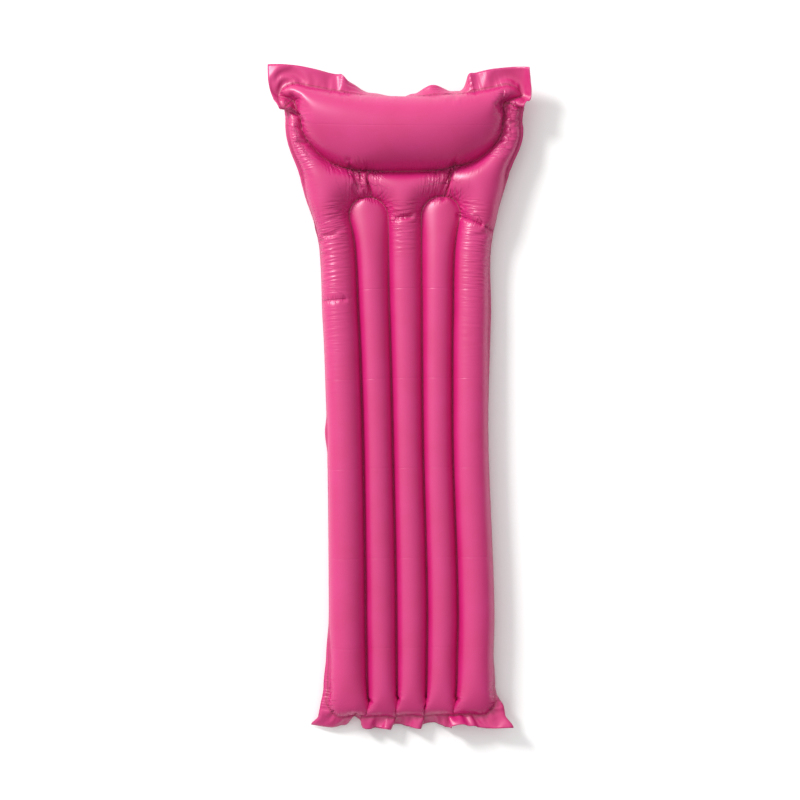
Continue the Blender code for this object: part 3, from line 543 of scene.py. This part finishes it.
def creaseAt(x, y):
    # signed distance in plan to the nearest crease, and how much of its depth is left towards its ends
    off, left = np.full(x.shape, 1.0), np.zeros(x.shape)
    for start, end, share, taper in creases["lines"]:
        way = np.subtract(end, start)
        length = math.hypot(*way)
        way = way / length
        right, up = x - start[0], y - start[1]
        along, aside = right * way[0] + up * way[1], right * way[1] - up * way[0]
        hold = share * smooth(along / taper) * smooth((length - along) / taper)
        nearer = np.abs(aside) < np.abs(off)
        off, left = np.where(nearer, aside, off), np.where(nearer, hold, left)
    return off, left


def pressCreases(place, flat):
    # the upper sheet sinks along its normal by depth * exp(-(distance / width)^2), but not at the welds
    points = np.moveaxis(place[:, 0], 0, -1)
    off, left = creaseAt(points[..., 0], points[..., 1])
    free = smooth(alongSeam(flat[0], flat[1])[1] / creases["weldFade"])
    sink = creases["depth"] * np.exp(-(off / creases["width"]) ** 2) * left * free
    place[:, 0] -= np.moveaxis(gridNormals(points) * sink[..., None], -1, 0)
    return place


def cellTriangles(points, welded):
    # two triangles a cell, split along a weld if one crosses it, else along the shorter diagonal
    index = np.arange(welded.size).reshape(welded.shape)
    a, b, c, d = index[:-1, :-1], index[:-1, 1:], index[1:, 1:], index[1:, :-1]
    rising = np.linalg.norm(points[1:, 1:] - points[:-1, :-1], axis=-1)
    falling = np.linalg.norm(points[1:, :-1] - points[:-1, 1:], axis=-1)
    seamUp = welded[:-1, :-1] & welded[1:, 1:]
    seamDown = welded[:-1, 1:] & welded[1:, :-1]
    up = (rising <= falling) & ~(seamDown & ~seamUp) | (seamUp & ~seamDown)
    first, second = np.stack([a, b, np.where(up, c, d)], -1), np.stack([np.where(up, a, b), c, d], -1)
    return np.stack([first, second], 2)


def holeRings(points, flat, seat):
    # rings from a square of the grid in to a flat circle, and from there to the hole
    axes = seatFrame(seat)
    side, other, out = axes
    centre = np.array(seat["place"])
    off = offAxis(points - centre, axes, fit["holeDepth"])
    row, column = np.unravel_index(np.argmin(off), off.shape)
    n = int(fit["square"] / (flat[1, 3, 0] - flat[1, 2, 0]))
    walk = np.arange(2 * n)
    sides = [0 * walk, walk, 0 * walk + 2 * n, 2 * n - walk]
    rows, columns = row - n + np.concatenate(sides), column - n + np.concatenate(sides[1:] + sides[:1])
    loop, loopFlat = points[rows, columns] - centre, flat[:, rows, columns].T
    turn = np.arctan2(loop @ other, loop @ side)
    circle = np.cos(turn)[:, None] * side + np.sin(turn)[:, None] * other
    rimAt, holeAt = fit["flat"], fit["hole"]
    rim, hole = centre + circle * rimAt, centre + circle * holeAt
    middleFlat = loopFlat.mean(axis=0)
    fromMiddle = loopFlat - middleFlat
    reach = np.linalg.norm(loop, axis=1, keepdims=True)
    spread = loop - (loop @ out)[:, None] * out
    w, v = [np.arange(1, fit[key] + 1)[:, None, None] / fit[key] for key in ("outerRings", "innerRings")]
    sunk = (loop @ out)[:, None] * (1.0 - w) ** 2 * out
    places = [centre + spread * (1.0 - w) + (rim - centre) * w + sunk, rim + (hole - rim) * v]
    flats = [middleFlat + fromMiddle * ((1.0 - w) + w * rimAt / reach)]
    flats.append(middleFlat + fromMiddle * (rimAt * (1.0 - v) + holeAt * v) / reach)
    square = (slice(row - n, row + n), slice(column - n, column + n))
    return square, rows, columns, np.concatenate(places), np.concatenate(flats)


def newObject(name, data):
    made = bpy.data.objects.new(name, data)
    bpy.context.scene.collection.objects.link(made)
    return made


def meshFrom(name, points, triangles):
    mesh = bpy.data.meshes.new(name)
    mesh.vertices.add(len(points))
    mesh.vertices.foreach_set("co", points.astype(single).ravel())
    mesh.loops.add(triangles.size)
    mesh.loops.foreach_set("vertex_index", triangles.astype(np.int32).ravel())
    mesh.polygons.add(len(triangles))
    mesh.polygons.foreach_set("loop_start", np.arange(0, triangles.size, 3, dtype=np.int32))
    mesh.polygons.foreach_set("use_smooth", np.ones(len(triangles), bool))
    mesh.update(calc_edges=True)
    mesh.validate()
    return newObject(name, mesh)


def alongSeam(s, t):
    # how far along the nearest weld each point lies, and how far from it
    half = sheet["innerTube"] / 2
    start = sheet["fingerTip"] - half
    inside = outerField(s, t) < sheet["seamPast"]  # only the outer weld shows on the flanges
    ways, gaps = [], []
    for side in (-1.0, 1.0):
        out = s - side * sheet["innerTube"]
        ways.append(np.where(t < start, t, start + half * np.arctan2(np.maximum(t - start, 0.0), np.abs(out))))
        gaps.append(np.where(inside, np.abs(fingerField(s, t, side)), 1.0))
    a, b = outerWeld()
    ways.append(np.where(np.abs(s) - a > np.abs(t) - b, t, s))
    gaps.append(np.abs(outerField(s, t)))
    ways.append(s + np.sign(s) * np.maximum(sheet["pillowTop"] - t, 0.0))
    gaps.append(np.where(inside, np.abs(pillowField(s, t)), 1.0))
    return np.choose(np.argmin(gaps, axis=0), ways), np.min(gaps, axis=0)


# Where the gathers fan out from the closed tubes' ends
tipZone = {"seam": 0.002, "reach": 0.08, "fade": 0.04, "below": 0.02, "rise": 0.04}

# How slack the film may be read, and how often that is smoothed
slackRead = {"most": 0.4, "rounds": 3}


def atTips(s, t):
    # 1 on the shoulder's side of the closed tubes' round ends, falling to 0 from fade to reach away
    start = sheet["fingerTip"] - sheet["innerTube"] / 2
    near = []
    for side in (-1.0, 1.0):
        off = fingerField(s, t, side)
        near.append(smooth(off / tipZone["seam"]) * smooth((tipZone["reach"] - off) / tipZone["fade"]))
    return np.maximum(*near) * smooth((t - start + tipZone["below"]) / tipZone["rise"])


def slackOf(points, flat, axis):
    # how much shorter than its cut the film is along one axis of the grid, smoothed
    cut = np.moveaxis(cutPlace(flat), 0, -1)
    now = np.linalg.norm(np.diff(points, axis=axis), axis=-1)
    flatLength = np.linalg.norm(np.diff(cut, axis=axis), axis=-1)
    short = np.clip(1.0 - now / np.maximum(flatLength, air["tiny"]), 0.0, slackRead["most"])
    short = np.concatenate([short, np.take(short, [-1], axis=axis)], axis=axis)
    for _ in range(slackRead["rounds"]):
        for k in (0, 1):
            short = (short * 2.0 + np.roll(short, 1, axis=k) + np.roll(short, -1, axis=k)) / 4.0
    return short


# What the film carries for its material: the group's input, the attribute, the input's default
filmReads = (
    ("Seam", "seam", 1.0),
    ("Along", "along", 0.0),
    ("Rim", "rim", 0.0),
    ("Slack Across", "slackAcross", 0.0),
    ("Slack Along", "slackAlong", 0.0),
    ("Crease Off", "creaseOff", 1.0),
    ("Crease Left", "creaseLeft", 0.0),
    ("Tip", "tip", 0.0),
)


def sheetPiece(name, place, flat, welded, upper, seats, finish):
    # one sheet: its outer face, out by half the gap and the film, then the film's wall inwards
    points = np.moveaxis(place[:, 0 if upper else 1], 0, -1).astype(float)
    outward = gridNormals(points) * (1.0 if upper else -1.0)
    taut = np.ones(points.shape[:2])  # the film is taut round each valve
    for seat in seats:
        off = np.linalg.norm(points - np.array(seat["place"]), axis=-1)
        taut *= smooth((off - fit["square"] * fit["tautFrom"]) / fit["square"] / fit["tautOver"])
    slack = [(slackOf(points, flat, axis) * taut).ravel() for axis in (1, 0)]
    points = points + outward * (filmWall["thickness"] + filmWall["halfGap"])
    points[..., 2] = np.maximum(points[..., 2], 0.0)
    cells = cellTriangles(points, welded)
    kept = np.ones(cells.shape[:2], bool)
    allPoints, allFlat, extra = [points.reshape(-1, 3)], [flat.reshape(2, -1).T], []
    for seat in seats:
        square, rows, columns, rings, ringFlat = holeRings(points, flat, seat)
        kept[square] = False
        first = sum(len(part) for part in allPoints)
        count = rings.shape[0] * rings.shape[1]
        ringIndex = first + np.arange(count).reshape(rings.shape[:2])
        index = np.concatenate([(rows * flat.shape[2] + columns)[None], ringIndex])
        a, b = index[:-1], np.roll(index[:-1], -1, axis=1)
        c, d = np.roll(index[1:], -1, axis=1), index[1:]
        extra.append(np.stack([np.stack([a, b, c], -1), np.stack([a, c, d], -1)]).reshape(-1, 3))
        allPoints.append(rings.reshape(-1, 3))
        allFlat.append(ringFlat.reshape(-1, 2))
        slack = [np.concatenate([part, np.zeros(count)]) for part in slack]
    triangles = np.concatenate([cells[kept].reshape(-1, 3)] + extra)
    if not upper:
        triangles = triangles[:, ::-1]
    used, triangles = np.unique(triangles, return_inverse=True)
    allPoints, allFlat = np.concatenate(allPoints)[used], np.concatenate(allFlat)[used]
    made = meshFrom(name, allPoints, triangles.reshape(-1, 3))
    mesh = made.data
    corner = np.zeros(len(mesh.loops), np.int32)
    mesh.loops.foreach_get("vertex_index", corner)
    layer = mesh.uv_layers.new(name="cut")
    layer.data.foreach_set("uv", allFlat[corner].astype(single).ravel())
    s, t = allFlat.T
    along, seam = alongSeam(s, t)
    off, left = creaseAt(allPoints[:, 0], allPoints[:, 1])
    left = left if upper else left * 0.0
    values = (seam, along, outerField(s, t), slack[0][used], slack[1][used], off, left, atTips(s, t))
    for (_, label, _), value in zip(filmReads, values):
        attribute = mesh.attributes.new(label, "FLOAT", "POINT")
        attribute.data.foreach_set("value", value.astype(single))
    mesh.materials.append(finish)
    wall = made.modifiers.new("film", "SOLIDIFY")
    wall.thickness = filmWall["thickness"]
    wall.offset = -1.0
    wall.use_even_offset = False
    say("%s, %d triangles on its outer face" % (name, len(mesh.polygons)))
    return made


# The pink film's finish; depths, widths and lengths are in metres
filmFinish = {
    "deep": (0.51, 0.004, 0.12, 1.0),
    "bright": (0.57, 0.012, 0.172, 1.0),
    "weldAndShadeTone": (0.28, 0.001, 0.04, 1.0),  # two layers fused into one, and painted shade at the bottoms of the grooves
    "weldShadeShare": 0.85,
    "roughness": 0.37,
    "lowerRoughness": 0.4,
    "specular": 0.85,
    "bloomGain": 1.2,  # how far the cloudy tone goes towards bright
    "bloomLength": 0.09,
    "bloomHaze": 0.1,  # how much the tone, the grain and the weld change the roughness
    "grainHaze": 0.04,
    "weldHaze": 0.08,
    "fadeBase": 2.718,
    "puckerDepth": 0.0065,  # the small gathers beside a weld
    "puckerReach": 0.022,
    "puckerLength": 0.0065,
    "puckerFrom": 0.034,  # deepest where the film has this much slack or more
    "puckerGain": 22.0,
    "puckerLeast": 0.06,
    "rimGain": 300.0,  # 1 / how far past the outer weld they end
    "fanDepth": 0.0065,  # the longer ones that fan out from the closed tubes' ends
    "fanLength": 0.0105,
    "fanReach": 0.021,
    "fanDraw": 0.4,
    "wrinkleDepth": 0.11,  # the depth of a wrinkle in film that is wholly slack
    "wrinkleFrom": 0.018,
    "wrinkleMost": 0.004,
    "wrinkleLength": 0.007,
    "wrinkleDraw": 8.0,
    "packFirst": 0.04,  # faint marks where the mat was folded for its box
    "packSpacing": 0.24,
    "packWidth": 0.002,
    "packDepth": 0.0003,
    "packPatches": 14.0,
    "weldBand": 0.0022,  # half the pressed band's width inside, and on the flanges
    "rimBand": 0.0026,
    "weldEdge": 2200.0,
    # painted shade: 1 / how far from the outer weld the weld band's deeper tone reaches its full depth
    "fusedShadeGain": 160.0,
    "weldDepth": 0.00012,
    "diamondLength": 0.0016,  # the welding tool's grain, and its share of the weld's depth
    "diamondShare": 0.3,
    "grainLength": 0.0016,
    "grainDepth": 0.000006,
}


def addNode(tree, kind, **values):
    made = tree.nodes.new(kind)
    for key, value in values.items():
        setattr(made, key, value)
    return made


def join(tree, *pairs):
    for source, target in pairs:
        tree.links.new(source, target)


def mathStep(tree, operation, *operands, clamp=False):
    # one Math node; each operand is a socket or a number
    made = tree.nodes.new("ShaderNodeMath")
    made.operation = operation
    made.use_clamp = clamp
    for socket, operand in zip(made.inputs, operands):
        if isinstance(operand, (int, float)):
            socket.default_value = operand
        else:
            tree.links.new(operand, socket)
    return made.outputs[0]


def mathSteps(tree, *operations):
    # the Math node's operations as functions
    return [partial(mathStep, tree, operation) for operation in operations]


number, vector = "NodeSocketFloat", "NodeSocketVector"  # kinds of socket


def newGroup(name, inputs, outputs):
    group = bpy.data.node_groups.new(name, "ShaderNodeTree")
    for label, kind, value in inputs:
        socket = group.interface.new_socket(label, in_out="INPUT", socket_type=kind)
        if value is not None:
            socket.default_value = value
    for label, kind in outputs:
        group.interface.new_socket(label, in_out="OUTPUT", socket_type=kind)
    return group, group.nodes.new("NodeGroupInput").outputs, group.nodes.new("NodeGroupOutput").inputs


def noiseAt(tree, place, scale, detail=2.0, rough=0.5):
    made = addNode(tree, "ShaderNodeTexNoise")
    made.inputs["Scale"].default_value = scale
    made.inputs["Detail"].default_value = detail
    made.inputs["Roughness"].default_value = rough
    tree.links.new(place, made.inputs["Vector"])
    return made.outputs["Fac"]


def pairUp(tree, first, second):
    made = addNode(tree, "ShaderNodeCombineXYZ")
    join(tree, (first, made.inputs[0]), (second, made.inputs[1]))
    return made.outputs[0]


def filmReliefGroup():
    # gathers, wrinkles where the film is slack, the pressed weld band, the weld band's deeper tone with painted shade
    # in the grooves, and the film's own grain
    inputs = [("Cut", vector, None)] + [(label, number, value) for label, _, value in filmReads]
    inputs += [("Pucker Depth", number, 0.001), ("Wrinkle Depth", number, 0.01)]
    inputs += [("Weld Depth", number, 0.0001), ("Grain Depth", number, 0.00001)]
    outputs = [(label, number) for label in ("Height", "Weld", "Fused Shade", "Bloom", "Grain")]
    group, taken, given = newGroup("film relief", inputs, outputs)
    plus, minus, times, over = mathSteps(group, "ADD", "SUBTRACT", "MULTIPLY", "DIVIDE")
    size, most, least, power = mathSteps(group, "ABSOLUTE", "MAXIMUM", "MINIMUM", "POWER")
    sine, scaled, backAndForth = mathSteps(group, "SINE", "MULTIPLY_ADD", "PINGPONG")
    f, noise, pair = filmFinish, partial(noiseAt, group), partial(pairUp, group)
    split = addNode(group, "ShaderNodeSeparateXYZ")
    group.links.new(taken["Cut"], split.inputs[0])
    across, along = split.outputs[0], split.outputs[1]

    # gathers: noise that changes quickly along the weld and slowly away from it
    way = over(taken["Along"], f["puckerLength"])
    away = over(taken["Seam"], f["puckerReach"])
    ridge = size(minus(noise(pair(way, away), 1.0, 1.0), 0.5))
    gather = times(ridge, 2.0)  # sharp valleys between round ridges
    fade = power(f["fadeBase"], times(away, -1.0))
    inAir = minus(1.0, times(most(taken["Rim"], 0.0), f["rimGain"], clamp=True), clamp=True)
    loose = minus(plus(taken["Slack Across"], taken["Slack Along"]), f["puckerFrom"])
    loose = plus(times(loose, f["puckerGain"], clamp=True), f["puckerLeast"])
    gather = times(times(gather, loose), fade)
    gather = times(gather, times(taken["Pucker Depth"], inAir))

    # longer ones fan out from the closed tubes' ends
    fanAway = over(taken["Seam"], f["fanReach"])
    fanPlace = pair(over(taken["Along"], f["fanLength"]), times(fanAway, f["fanDraw"]))
    fan = size(minus(noise(fanPlace, 1.0, 0.0), 0.5))
    fanFade = power(f["fadeBase"], times(fanAway, -1.0))
    fan = times(times(fan, fanFade), times(taken["Tip"], f["fanDepth"] * 2.0))
    total = plus(gather, fan)

    # wrinkles lie square to the way that the film is short
    for slack, fast, slow in (("Slack Along", along, across), ("Slack Across", across, along)):
        quick = over(fast, f["wrinkleLength"])
        drawn = over(slow, f["wrinkleLength"] * f["wrinkleDraw"])
        fold = minus(noise(pair(quick, drawn), 1.0, 1.0), 0.5)
        amount = times(minus(taken[slack], f["wrinkleFrom"]), taken["Wrinkle Depth"])
        amount = least(most(amount, 0.0), f["wrinkleMost"])
        total = plus(total, times(fold, amount))

    # the marks of packing: a narrow valley each time the mat was folded
    fromMark = backAndForth(minus(along, f["packFirst"]), f["packSpacing"] / 2)
    mark = minus(1.0, over(fromMark, f["packWidth"]), clamp=True)
    faint = noise(taken["Cut"], f["packPatches"], 1.0)
    total = plus(total, times(times(mark, faint), -f["packDepth"] * 2.0))

    # the crease's sharp bottom
    edge = over(size(taken["Crease Off"]), -creases["foldWidth"])
    notch = times(plus(edge, 1.0, clamp=True), taken["Crease Left"])
    total = plus(total, times(notch, -creases["foldDepth"]))

    # the weld: a band pressed into both layers, with the welding tool's diamond grain
    outside = minus(size(minus(taken["Rim"], f["rimBand"])), f["rimBand"])
    band = least(minus(taken["Seam"], f["weldBand"]), outside)
    weld = times(band, -f["weldEdge"], clamp=True)
    # painted shade: the weld band's deeper tone, partly the fused layers' own colour and partly the grooves' shade; it
    # fades out towards the outer weld, where there is no groove
    fusedShade = times(weld, times(size(taken["Rim"]), f["fusedShadeGain"], clamp=True))
    turns = 2.0 * math.pi / f["diamondLength"]
    left = sine(times(plus(across, along), turns))
    right = sine(times(minus(across, along), turns))
    diamond = scaled(times(left, right), f["diamondShare"], -1.0)
    pressed = times(times(diamond, weld), taken["Weld Depth"])
    total = plus(total, pressed)

    grain = noise(taken["Cut"], 1.0 / f["grainLength"], 3.0, 0.6)
    total = plus(total, times(grain, taken["Grain Depth"]))
    bloom = noise(taken["Cut"], 1.0 / f["bloomLength"], 3.0, 0.55)
    for label, socket in (("Height", total), ("Weld", weld), ("Fused Shade", fusedShade), ("Bloom", bloom), ("Grain", grain)):
        group.links.new(socket, given[label])
    return group


def newMaterial(name):
    made = bpy.data.materials.new(name)
    made.use_nodes = True
    return made, made.node_tree, made.node_tree.nodes["Principled BSDF"]


def toneMix(tree, factor, first, second):
    # a colour between two; each is a socket or a colour
    made = addNode(tree, "ShaderNodeMix", data_type="RGBA")
    for label, operand in (("Factor", factor), ("A", first), ("B", second)):
        if isinstance(operand, tuple):
            made.inputs[label].default_value = operand
        else:
            tree.links.new(operand, made.inputs[label])
    return made.outputs["Result"]


def bumpFrom(tree, height, shader):
    bump = addNode(tree, "ShaderNodeBump")
    bump.inputs["Distance"].default_value = 1.0
    join(tree, (height, bump.inputs["Height"]), (bump.outputs["Normal"], shader.inputs["Normal"]))


def vinylFilm(name, group, roughness):
    # satin film, of a deeper colour at the welds: the fused layers' own colour, and painted shade at the bottoms of the
    # grooves
    made, tree, shader = newMaterial(name)
    f = filmFinish
    relief = addNode(tree, "ShaderNodeGroup")
    relief.node_tree = group
    cut = addNode(tree, "ShaderNodeUVMap", uv_map="cut")
    tree.links.new(cut.outputs["UV"], relief.inputs["Cut"])
    for label, attribute, _ in filmReads:
        read = addNode(tree, "ShaderNodeAttribute", attribute_name=attribute)
        tree.links.new(read.outputs["Fac"], relief.inputs[label])
    for label in ("Pucker", "Wrinkle", "Weld", "Grain"):
        relief.inputs[label + " Depth"].default_value = f[label.lower() + "Depth"]
    plus, times, scaled = mathSteps(tree, "ADD", "MULTIPLY", "MULTIPLY_ADD")
    even = scaled(relief.outputs["Bloom"], f["bloomGain"], 0.0, clamp=True)
    tone = toneMix(tree, even, f["deep"], f["bright"])
    # painted shade: the weld band's deeper tone darkens the grooves' bottoms, on top of the fused layers' own colour
    fusedShade = times(relief.outputs["Fused Shade"], f["weldShadeShare"])
    tone = toneMix(tree, fusedShade, tone, f["weldAndShadeTone"])
    tree.links.new(tone, shader.inputs["Base Color"])
    haze = scaled(relief.outputs["Bloom"], f["bloomHaze"], roughness - f["bloomHaze"] / 2)
    haze = plus(haze, times(relief.outputs["Grain"], f["grainHaze"]))
    haze = scaled(relief.outputs["Weld"], f["weldHaze"], haze)
    tree.links.new(haze, shader.inputs["Roughness"])
    shader.inputs["Specular IOR Level"].default_value = f["specular"]
    bumpFrom(tree, relief.outputs["Height"], shader)
    return made


# The valves' finishes: moulded soft vinyl, and clear film for the flap
valveFinish = {
    "white": (0.8, 0.78, 0.77, 1.0),
    "shade": (0.7, 0.66, 0.66, 1.0),
    "roughness": 0.42,
    "cloudScale": 160.0,
    "cloudHaze": 0.12,
    "grainScale": 900.0,
    "grainDepth": 0.00002,
    "clear": (0.93, 0.9, 0.91, 1.0),
    "clearRoughness": 0.16,
    "clearGrain": 0.3,  # the clear film's grain, as a share of grainDepth
    "transmission": 0.85,
    "ior": 1.52,
}


def mouldedGroup():
    # fine moulded grain and a faint cloudiness
    inputs = [("Place", vector, None), ("Grain Depth", number, 0.00002)]
    group, taken, given = newGroup("moulded grain", inputs, [("Height", number), ("Cloud", number)])
    grain = noiseAt(group, taken["Place"], valveFinish["grainScale"], 3.0)
    cloud = noiseAt(group, taken["Place"], valveFinish["cloudScale"], 2.0)
    height = mathStep(group, "MULTIPLY", grain, taken["Grain Depth"])
    join(group, (height, given["Height"]), (cloud, given["Cloud"]))
    return group


def softVinyl(name, group, clear):
    # cloudy white vinyl, or clear film with the same grain, fainter
    made, tree, shader = newMaterial(name)
    f = valveFinish
    place = addNode(tree, "ShaderNodeTexCoord")
    grain = addNode(tree, "ShaderNodeGroup")
    grain.node_tree = group
    grain.inputs["Grain Depth"].default_value = f["grainDepth"] * (f["clearGrain"] if clear else 1.0)
    tree.links.new(place.outputs["Object"], grain.inputs["Place"])
    bumpFrom(tree, grain.outputs["Height"], shader)
    roughness = f["clearRoughness" if clear else "roughness"] - f["cloudHaze"] / 2
    haze = mathStep(tree, "MULTIPLY_ADD", grain.outputs["Cloud"], f["cloudHaze"], roughness)
    tree.links.new(haze, shader.inputs["Roughness"])
    if clear:
        shader.inputs["Base Color"].default_value = f["clear"]
        shader.inputs["Transmission Weight"].default_value = f["transmission"]
        shader.inputs["IOR"].default_value = f["ior"]
    else:
        tone = toneMix(tree, grain.outputs["Cloud"], f["shade"], f["white"])
        tree.links.new(tone, shader.inputs["Base Color"])
    return made


studio = {
    "photoScale": 378.0,  # pixels a metre at the mattress
    "picture": 800.0,  # its width in pixels
    "sensor": 36.0,
    "cameraHeight": 5.0,
    "scaleHeight": 0.05,  # where the mattress has that scale
    "cameraTurn": -0.95,  # degrees; the foot lies to the right in the picture
    "axisAtMiddle": 406.0,  # picture column of the mattress's axis at half its length
    "clipEnd": 50.0,
    "lightDistance": 9.0,
    "lightHeight": 34.0,
    "lightSize": 2.2,
    "lightPower": 610.0,
    "nearSky": 1.06,  # the white surround, brighter on the light's side
    "farSky": 0.27,
    "skyFrom": -0.7,  # cosines of the angle to the light between which it turns
    "skyTo": 0.9,
    "floor": (0.97, 0.965, 0.96, 1.0),
    "floorHalf": 6.0,
    "floorRoughness": 0.8,
}


def makeStudio():
    # a camera straight above, a soft window to the upper left, a white surround and a pale floor
    scene = bpy.context.scene
    scene.view_settings.view_transform = "Standard"
    data = bpy.data.cameras.new("camera")
    camera = newObject("camera", data)
    away = studio["cameraHeight"] - studio["scaleHeight"]
    data.sensor_width = studio["sensor"]
    data.lens = studio["photoScale"] * studio["sensor"] * away / studio["picture"]
    data.clip_end = studio["clipEnd"]
    aside = (studio["axisAtMiddle"] - studio["picture"] / 2) / studio["photoScale"]
    camera.location = (-aside, 0.0, studio["cameraHeight"])
    camera.rotation_euler = (0.0, 0.0, math.radians(studio["cameraTurn"]))
    scene.camera = camera

    data = bpy.data.lights.new("window", "AREA")
    data.shape = "DISK"
    data.size = studio["lightSize"]
    data.energy = studio["lightPower"]
    lamp = newObject("window", data)
    rise = math.radians(studio["lightHeight"])
    way = Vector((-math.cos(rise) * math.sqrt(0.5), math.cos(rise) * math.sqrt(0.5), math.sin(rise)))
    lamp.location = way * studio["lightDistance"]
    lamp.rotation_euler = way.to_track_quat("Z", "Y").to_euler()

    world = bpy.data.worlds.new("studio")
    world.use_nodes = True
    tree = world.node_tree
    back = tree.nodes["Background"]
    back.inputs["Color"].default_value = (1.0, 1.0, 1.0, 1.0)
    look = addNode(tree, "ShaderNodeTexCoord")
    toward = addNode(tree, "ShaderNodeVectorMath", operation="DOT_PRODUCT")
    toward.inputs[1].default_value = way
    tree.links.new(look.outputs["Generated"], toward.inputs[0])
    span = addNode(tree, "ShaderNodeMapRange", interpolation_type="SMOOTHSTEP")
    for label, key in (("From Min", "skyFrom"), ("From Max", "skyTo"), ("To Min", "farSky"), ("To Max", "nearSky")):
        span.inputs[label].default_value = studio[key]
    join(tree, (toward.outputs["Value"], span.inputs["Value"]), (span.outputs["Result"], back.inputs["Strength"]))
    scene.world = world

    half = studio["floorHalf"]
    points = np.array([(-half, -half, 0.0), (half, -half, 0.0), (half, half, 0.0), (-half, half, 0.0)])
    floor = meshFrom("floor", points, np.array([(0, 1, 2), (0, 2, 3)]))
    pale, _, shader = newMaterial("pale floor")
    shader.inputs["Base Color"].default_value = studio["floor"]
    shader.inputs["Roughness"].default_value = studio["floorRoughness"]
    floor.data.materials.append(pale)


makeStudio()
say("studio")
place, flat, welded = blownSheets(3)
for seat in valveSeats.values():
    place, shift = pullToSeat(place, seat)
    say("film drawn %.1f mm to its valve" % (shift * 1000.0))
place = pressCreases(place, flat)
relief = filmReliefGroup()
upperFinish = vinylFilm("pink film, upper", relief, filmFinish["roughness"])
lowerFinish = vinylFilm("pink film, lower", relief, filmFinish["lowerRoughness"])
upperFilm = sheetPiece("upper_sheet", place, flat, welded, True, [], upperFinish)
lowerFilm = sheetPiece("lower_sheet", place, flat, welded, False, list(valveSeats.values()), lowerFinish)
for piece, slot, nodes in (
    (upperFilm, "film_upper", ("tubes_top_sheet", "pillow_top_sheet")),
    (lowerFilm, "film_lower", ("tubes_bottom_sheet", "pillow_bottom_sheet")),
):
    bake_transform(piece)
    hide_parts(*nodes)

moulded = mouldedGroup()
whiteVinyl = softVinyl("soft white vinyl", moulded, False)
clearVinyl = softVinyl("clear vinyl", moulded, True)
for name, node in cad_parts.items():
    if "valve" in name:
        for slot in node.material_slots:
            slot.material = clearVinyl if name.endswith("flap") else whiteVinyl
say("finishes")
